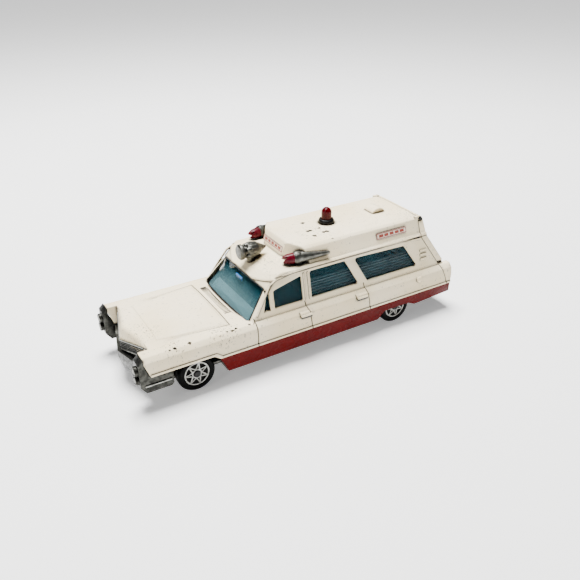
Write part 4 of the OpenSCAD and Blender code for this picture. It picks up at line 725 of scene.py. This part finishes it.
# Grille under the lip: a plated band and bars in front of it, the first and last lighter as a painted
# highlight
grille_steps = 8
band_start = Vector((0.05, 0, -0.15))
band_drop = Vector((-0.35, 0, -6.3))
band_thick = 0.15
grille_bars = 6
first_bar = Vector((0.1, 0, -0.5))
next_bar = Vector((-0.05, 0, -0.85))
bar_radius = 0.26
lip_line = [nose_lip(nose_corner.y * k / grille_steps) for k in range(-grille_steps, grille_steps + 1)]
band = bmesh.new()
edge_line = [band.verts.new((point + band_start) * mm) for point in lip_line]
edges = [band.edges.new(pair) for pair in zip(edge_line, edge_line[1:])]
drawn = bmesh.ops.extrude_edge_only(band, edges=edges)
bmesh.ops.translate(band, verts=pulled_out(drawn), vec=band_drop * mm)
piece("grille_band", thicken(band, band_thick), "plated_plastic")
for row in range(grille_bars):
    bar = [point + first_bar + next_bar * row for point in lip_line[1:-1]]
    plating = highlight_plating if row in (0, grille_bars - 1) else None
    piece("grille_bar_%d" % (row + 1), bead_along(bar, bar_radius), "plated_plastic", plating)

# Ledges along the bumper's sides, lighter as a painted highlight
ledge_low = Vector((62.9, 24.0, 10.9))
ledge_high = Vector((73.4, 24.9, 11.6))
ledge_rounding = 0.25
for word, side in sides:
    mirrored = Vector((1, side, 1))
    ledge = rounded_block(ledge_low * mirrored, ledge_high * mirrored, ledge_rounding)
    piece(word + "_bumper_ledge", ledge, "plated_plastic", highlight_plating)

# Door handles over a dark painted shadow
handle_from = {"front": 1.2, "back": -27.0}
handle_back = 24.4
handle_foot = 20.1
handle_size = Vector((5.4, 1.5, 1.0))
handle_rounding = 0.35
shadow_shift = Vector((0.2, -0.15, -0.75))
shadow_size = Vector((5.0, 1.5, 0.8))
shadow_rounding = 0.12
for word, side in sides:
    mirrored = Vector((1, side, 1))
    for door, x in handle_from.items():
        low = Vector((x, handle_back, handle_foot))
        grip = rounded_block(low * mirrored, (low + handle_size) * mirrored, handle_rounding)
        piece(word + "_" + door + "_handle", grip, "cream_enamel")
        low += shadow_shift
        handle_shadow = rounded_block(low * mirrored, (low + shadow_size) * mirrored, shadow_rounding)
        piece(word + "_" + door + "_handle_shadow", handle_shadow, "black_plastic", shade_black)

# Filler cap on the left rear wing
filler_outline = ((-0.3, 1.5), (0.3, 1.5), (0.6, 1.3), (0.75, 0.9), (0.8, 0.0))
filler_middle = (-56.0, 25.0, 20.05)
piece("filler_cap", turned(filler_outline, filler_middle, (0, 1, 0)), "cream_enamel")

# Ribs on the leaning pillar between the doors
pillar_foot = 22.6
pillar_foot_half = 21.95
pillar_lean = 3.3 / 16.2
rib_heights = (25.2, 29.0, 33.0, 36.6)
rib_places = {"rear": 0.0, "front": 2.0}
rib_radius = 0.3
for word, side in sides:
    for row, x in rib_places.items():
        rib = []
        for z in rib_heights:
            out = pillar_foot_half - pillar_lean * (z - pillar_foot)
            rib.append(Vector((x, side * out, z)))
        piece(word + "_" + row + "_pillar_rib", bead_along(rib, rib_radius), "cream_enamel")

# Drip rails from the foot of the screen pillar along the roof, each over a dark line of painted shadow: drop,
# radius and finish
rail_points = (
    (24.9, 21.6, 24.4), (21.3, 20.5, 30.0), (17.7, 19.3, 35.4), (14.6, 19.0, 36.9), (8.0, 18.95, 38.1),
    (0.0, 18.95, 38.5), (-30.0, 18.95, 38.5), (-59.0, 18.85, 38.5))
rails = (
    ("drip_rail", 0.0, 0.34, "cream_enamel", None),
    ("rail_shadow_line", 0.5, 0.16, "black_plastic", shade_black))
for word, side in sides:
    for name, drop, radius, slot, material in rails:
        path = [Vector((x - drop / 2, side * y, z - drop)) for x, y, z in rail_points]
        piece(word + "_" + name, bead_along(path, radius), slot, material)

# Roof vent: an arched hump across the roof with flat ends
vent_reach = 3.4
vent_half = 3.2
vent_height = 2.3
vent_sink = 0.2
vent_steps = 24
vent_rounding = 0.3
vent_crease = 40.0
rim_least = math.radians(50)
vent = bmesh.new()
arch = []
for k in range(vent_steps + 1):
    turn = math.pi * k / vent_steps
    place = Vector((scoop_middle, -vent_half, roof_top - vent_sink))
    place += Vector((vent_reach * math.cos(turn), 0, vent_height * math.sin(turn)))
    arch.append(vent.verts.new(place * mm))
vent.faces.new(arch)
drawn = bmesh.ops.extrude_face_region(vent, geom=list(vent.faces))
bmesh.ops.translate(vent, verts=pulled_out(drawn), vec=(0, 2 * vent_half * mm, 0))
bmesh.ops.recalc_face_normals(vent, faces=vent.faces)
round_edges(vent, [e for e in vent.edges if e.calc_face_angle(0) > rim_least], vent_rounding, 3)
piece("roof_vent", vent, "cream_enamel", crease=vent_crease)

# Siren: lobes round its waist, a pointed tail, and ribs along its bulb
siren_radius = 3.3
siren_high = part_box("siren")[1] / mm
siren_mouth = Vector((siren_high.x, 0, siren_high.z - siren_radius))
lobe = ((-1.7, 0.0), (-1.5, 0.7), (-0.7, 1.15), (0.5, 1.2), (1.3, 0.8), (1.7, 0.0))
lobe_count = 6
lobe_back = 4.3
lobe_out = 2.35
spike = ((-8.6, 0.0), (-8.6, 2.3), (-10.4, 1.7), (-12.6, 0.45), (-13.0, 0.0))
lobes = []
for row in range(lobe_count):
    turn = math.tau * row / lobe_count
    place = siren_mouth + Vector((-lobe_back, lobe_out * math.sin(turn), lobe_out * math.cos(turn)))
    lobes.append(turned(lobe, place, steps=20))
lobes.append(turned(spike, siren_mouth, steps=24))
piece("siren_lobes", join(lobes), "plated_plastic", roof_plating)
siren_ribs = 9
siren_rib_radius = 0.32
siren_rib_outline = ((3.7, 2.9), (4.6, 3.2), (5.8, 3.2), (7.4, 2.75), (9.0, 1.9), (10.3, 0.9))
for row in range(siren_ribs):
    turn = math.tau * (row + 0.5) / siren_ribs
    out = Vector((0, math.sin(turn), math.cos(turn)))
    rib = [siren_mouth + Vector((-along, 0, 0)) + out * wide for along, wide in siren_rib_outline]
    piece("siren_rib_%d" % (row + 1), bead_along(rib, siren_rib_radius), "plated_plastic", roof_plating)

# Tapering tails of the roof lamps, splayed outwards to the rear
lamp_tip = Vector((9.6, 13.9, 42.1))
lamp_splay = math.radians(11)
tail = ((5.6, 0.0), (5.6, 2.35), (7.5, 2.45), (12.0, 1.9), (20.8, 0.5), (21.3, 0.0))
for word, side in sides:
    lie = Vector((-math.cos(lamp_splay), side * math.sin(lamp_splay), 0))
    cone = turned(tail, lamp_tip * Vector((1, side, 1)), lie)
    piece(word + "_lamp_tail", cone, "plated_plastic", roof_plating)


# Windscreen: a black bead round it, painted shade at the glass's edge, and a raised lip of the casting under
# it

def on_screen(side, rise, lift):
    """A point of the bent windscreen: distance from the middle, share of the way up, height over glass."""
    along = screen_top - screen_foot
    out = Vector((along.z, 0, -along.x)).normalized()
    sag = screen_bend - math.sqrt(screen_bend ** 2 - side ** 2)
    return screen_foot + along * rise + out * (lift - sag) + Vector((0, side, 0))


bead_foot, bead_head = 0.06, 0.96
bead_lift = 0.05
bead_radius = 0.24
bead_steps = 24
corners = (
    (-screen_foot_half, bead_foot), (screen_foot_half, bead_foot),
    (screen_head_half, bead_head), (-screen_head_half, bead_head))
loop = []
for (side, rise), (next_side, next_rise) in zip(corners, corners[1:] + corners[:1]):
    for k in range(bead_steps):
        share = k / bead_steps
        y = side + (next_side - side) * share
        loop.append(on_screen(y, rise + (next_rise - rise) * share, bead_lift))
piece("screen_bead", bead_along(loop, bead_radius, True), "black_plastic", shade_black)
lip_rise = -0.01
lip_lift = 0.35
lip_radius = 0.5
lip = []
for k in range(bead_steps + 1):
    y = screen_foot_half * (2 * k / bead_steps - 1)
    lip.append(on_screen(y, lip_rise, lip_lift))
piece("screen_lip", bead_along(lip, lip_radius), "cream_enamel")

# Air vent in the scuttle: a row of dark slats, painted shade in its grooves
scuttle_slats = 25
scuttle_first = -13.2
scuttle_pitch = 1.0
scuttle_low = Vector((31.3, -0.17, hood_top - 0.3))
scuttle_high = Vector((33.9, 0.17, hood_top + 0.08))
scuttle_rounding = 0.05
slats = []
for k in range(scuttle_slats):
    place = Vector((0, scuttle_first + scuttle_pitch * k, 0))
    slats.append(rounded_block(scuttle_low + place, scuttle_high + place, scuttle_rounding))
piece("scuttle_vent", join(slats), "black_plastic", shade_black)

# Mirror behind the windscreen
mirror_low = (21.0, -2.6, 30.4)
mirror_high = (21.7, 2.6, 32.4)
mirror_rounding = 0.3
mirror = rounded_block(mirror_low, mirror_high, mirror_rounding)
piece("cabin_mirror", mirror, "black_plastic", mirror_blue)


# Plain labels: across the raised roof's front and along its sides

def cap_side(z):
    """Half the raised roof's width at a height."""
    return cap_foot_half - cap_lean * (z - cap_foot)


def label(name, corner, across, up):
    """A paper label from its lower corner along two edges, printed with a rule and a row of plain bars."""
    corner, across, up = Vector(corner), Vector(across), Vector(up)
    out = across.cross(up).normalized()
    starts = [print_start + print_pitch * k for k in range(print_bars)]
    bm = bmesh.new()
    bmesh.ops.create_grid(bm, x_segments=label_grid[0], y_segments=label_grid[1], size=0.5)
    ink = bm.verts.layers.float.new("print")
    for vert in bm.verts:
        u, v = vert.co.x + 0.5, vert.co.y + 0.5
        edge = min(u * across.length, (1 - u) * across.length, v * up.length, (1 - v) * up.length)
        rule = rule_from <= edge <= rule_to
        bar = print_foot <= v <= print_head and any(start <= u <= start + print_long for start in starts)
        vert[ink] = 1.0 if rule or bar else 0.0
        vert.co = (corner + across * u + up * v + out * label_lift) * mm
    return piece(name, thicken(bm, -label_thick), "white_plastic", label_paper)


label_long = label_front - label_back
label_half = cap_side(label_foot)
label_lean = cap_side(label_foot + label_tall) - label_half
front_up = cap_front_rise.normalized() * label_tall
label("front_roof_label", front_label_corner, (0, front_label_long, 0), front_up)
for word, side in sides:
    corner = (label_front if side > 0 else label_back, side * label_half, label_foot)
    label(word + "_roof_label", corner, (-side * label_long, 0, 0), (0, side * label_lean, label_tall))

# Floor
board = bmesh.new()
bmesh.ops.create_grid(board, x_segments=8, y_segments=8, size=floor_half * mm)
ground = bpy.data.meshes.new("floor")
board.to_mesh(ground)
board.free()
ground.materials.append(pale_floor())
floor = bpy.data.objects.new("floor", ground)
bpy.context.collection.objects.link(floor)

# A world that lights the toy little and shows bright to the camera
world_light, world_shown = 0.08, 0.9
sky = bpy.data.worlds.new("studio")
bpy.context.scene.world = sky
sky.use_nodes = True
backdrop = sky.node_tree.nodes["Background"]
backdrop.inputs["Color"].default_value = (1, 1, 1, 1)
seen = add(sky.node_tree, "LightPath", out="Is Camera Ray")
glow = add(sky.node_tree, "MapRange", {0: seen, 3: world_light, 4: world_shown}, **eased)
sky.node_tree.links.new(glow, backdrop.inputs["Strength"])

# Soft boxes: place and size in millimetres and power in watts
for name, place, size, power in (
        ("top_box", Vector((0, -150, 700)), 350, 21.0),
        ("front_box", Vector((600, 150, 400)), 300, 1.2)):
    lamp = bpy.data.lights.new(name, "AREA")
    lamp.size = size * mm
    lamp.energy = power
    holder = bpy.data.objects.new(name, lamp)
    bpy.context.collection.objects.link(holder)
    holder.location = place * mm
    holder.rotation_euler = place.to_track_quat("Z", "Y").to_euler()

# Camera, turned round the toy, raised and rolled as the photograph's was
right = Vector((math.cos(camera_turn), math.sin(camera_turn), 0))
rise = Vector((
    -math.sin(camera_turn) * math.sin(camera_rise),
    math.cos(camera_turn) * math.sin(camera_rise),
    math.cos(camera_rise)))
back = right.cross(rise)
aside = right * math.cos(camera_roll) + rise * math.sin(camera_roll)
above = rise * math.cos(camera_roll) - right * math.sin(camera_roll)
optics = bpy.data.cameras.new("camera")
optics.lens = focal_px / photo_px * optics.sensor_width
optics.clip_start = camera_near * mm
camera = bpy.data.objects.new("camera", optics)
bpy.context.collection.objects.link(camera)
stand = Matrix((aside, above, back)).transposed().to_4x4()
stand.translation = (aside * camera_aside + above * camera_up + back * camera_away) * mm
camera.matrix_world = stand
bpy.context.scene.camera = camera
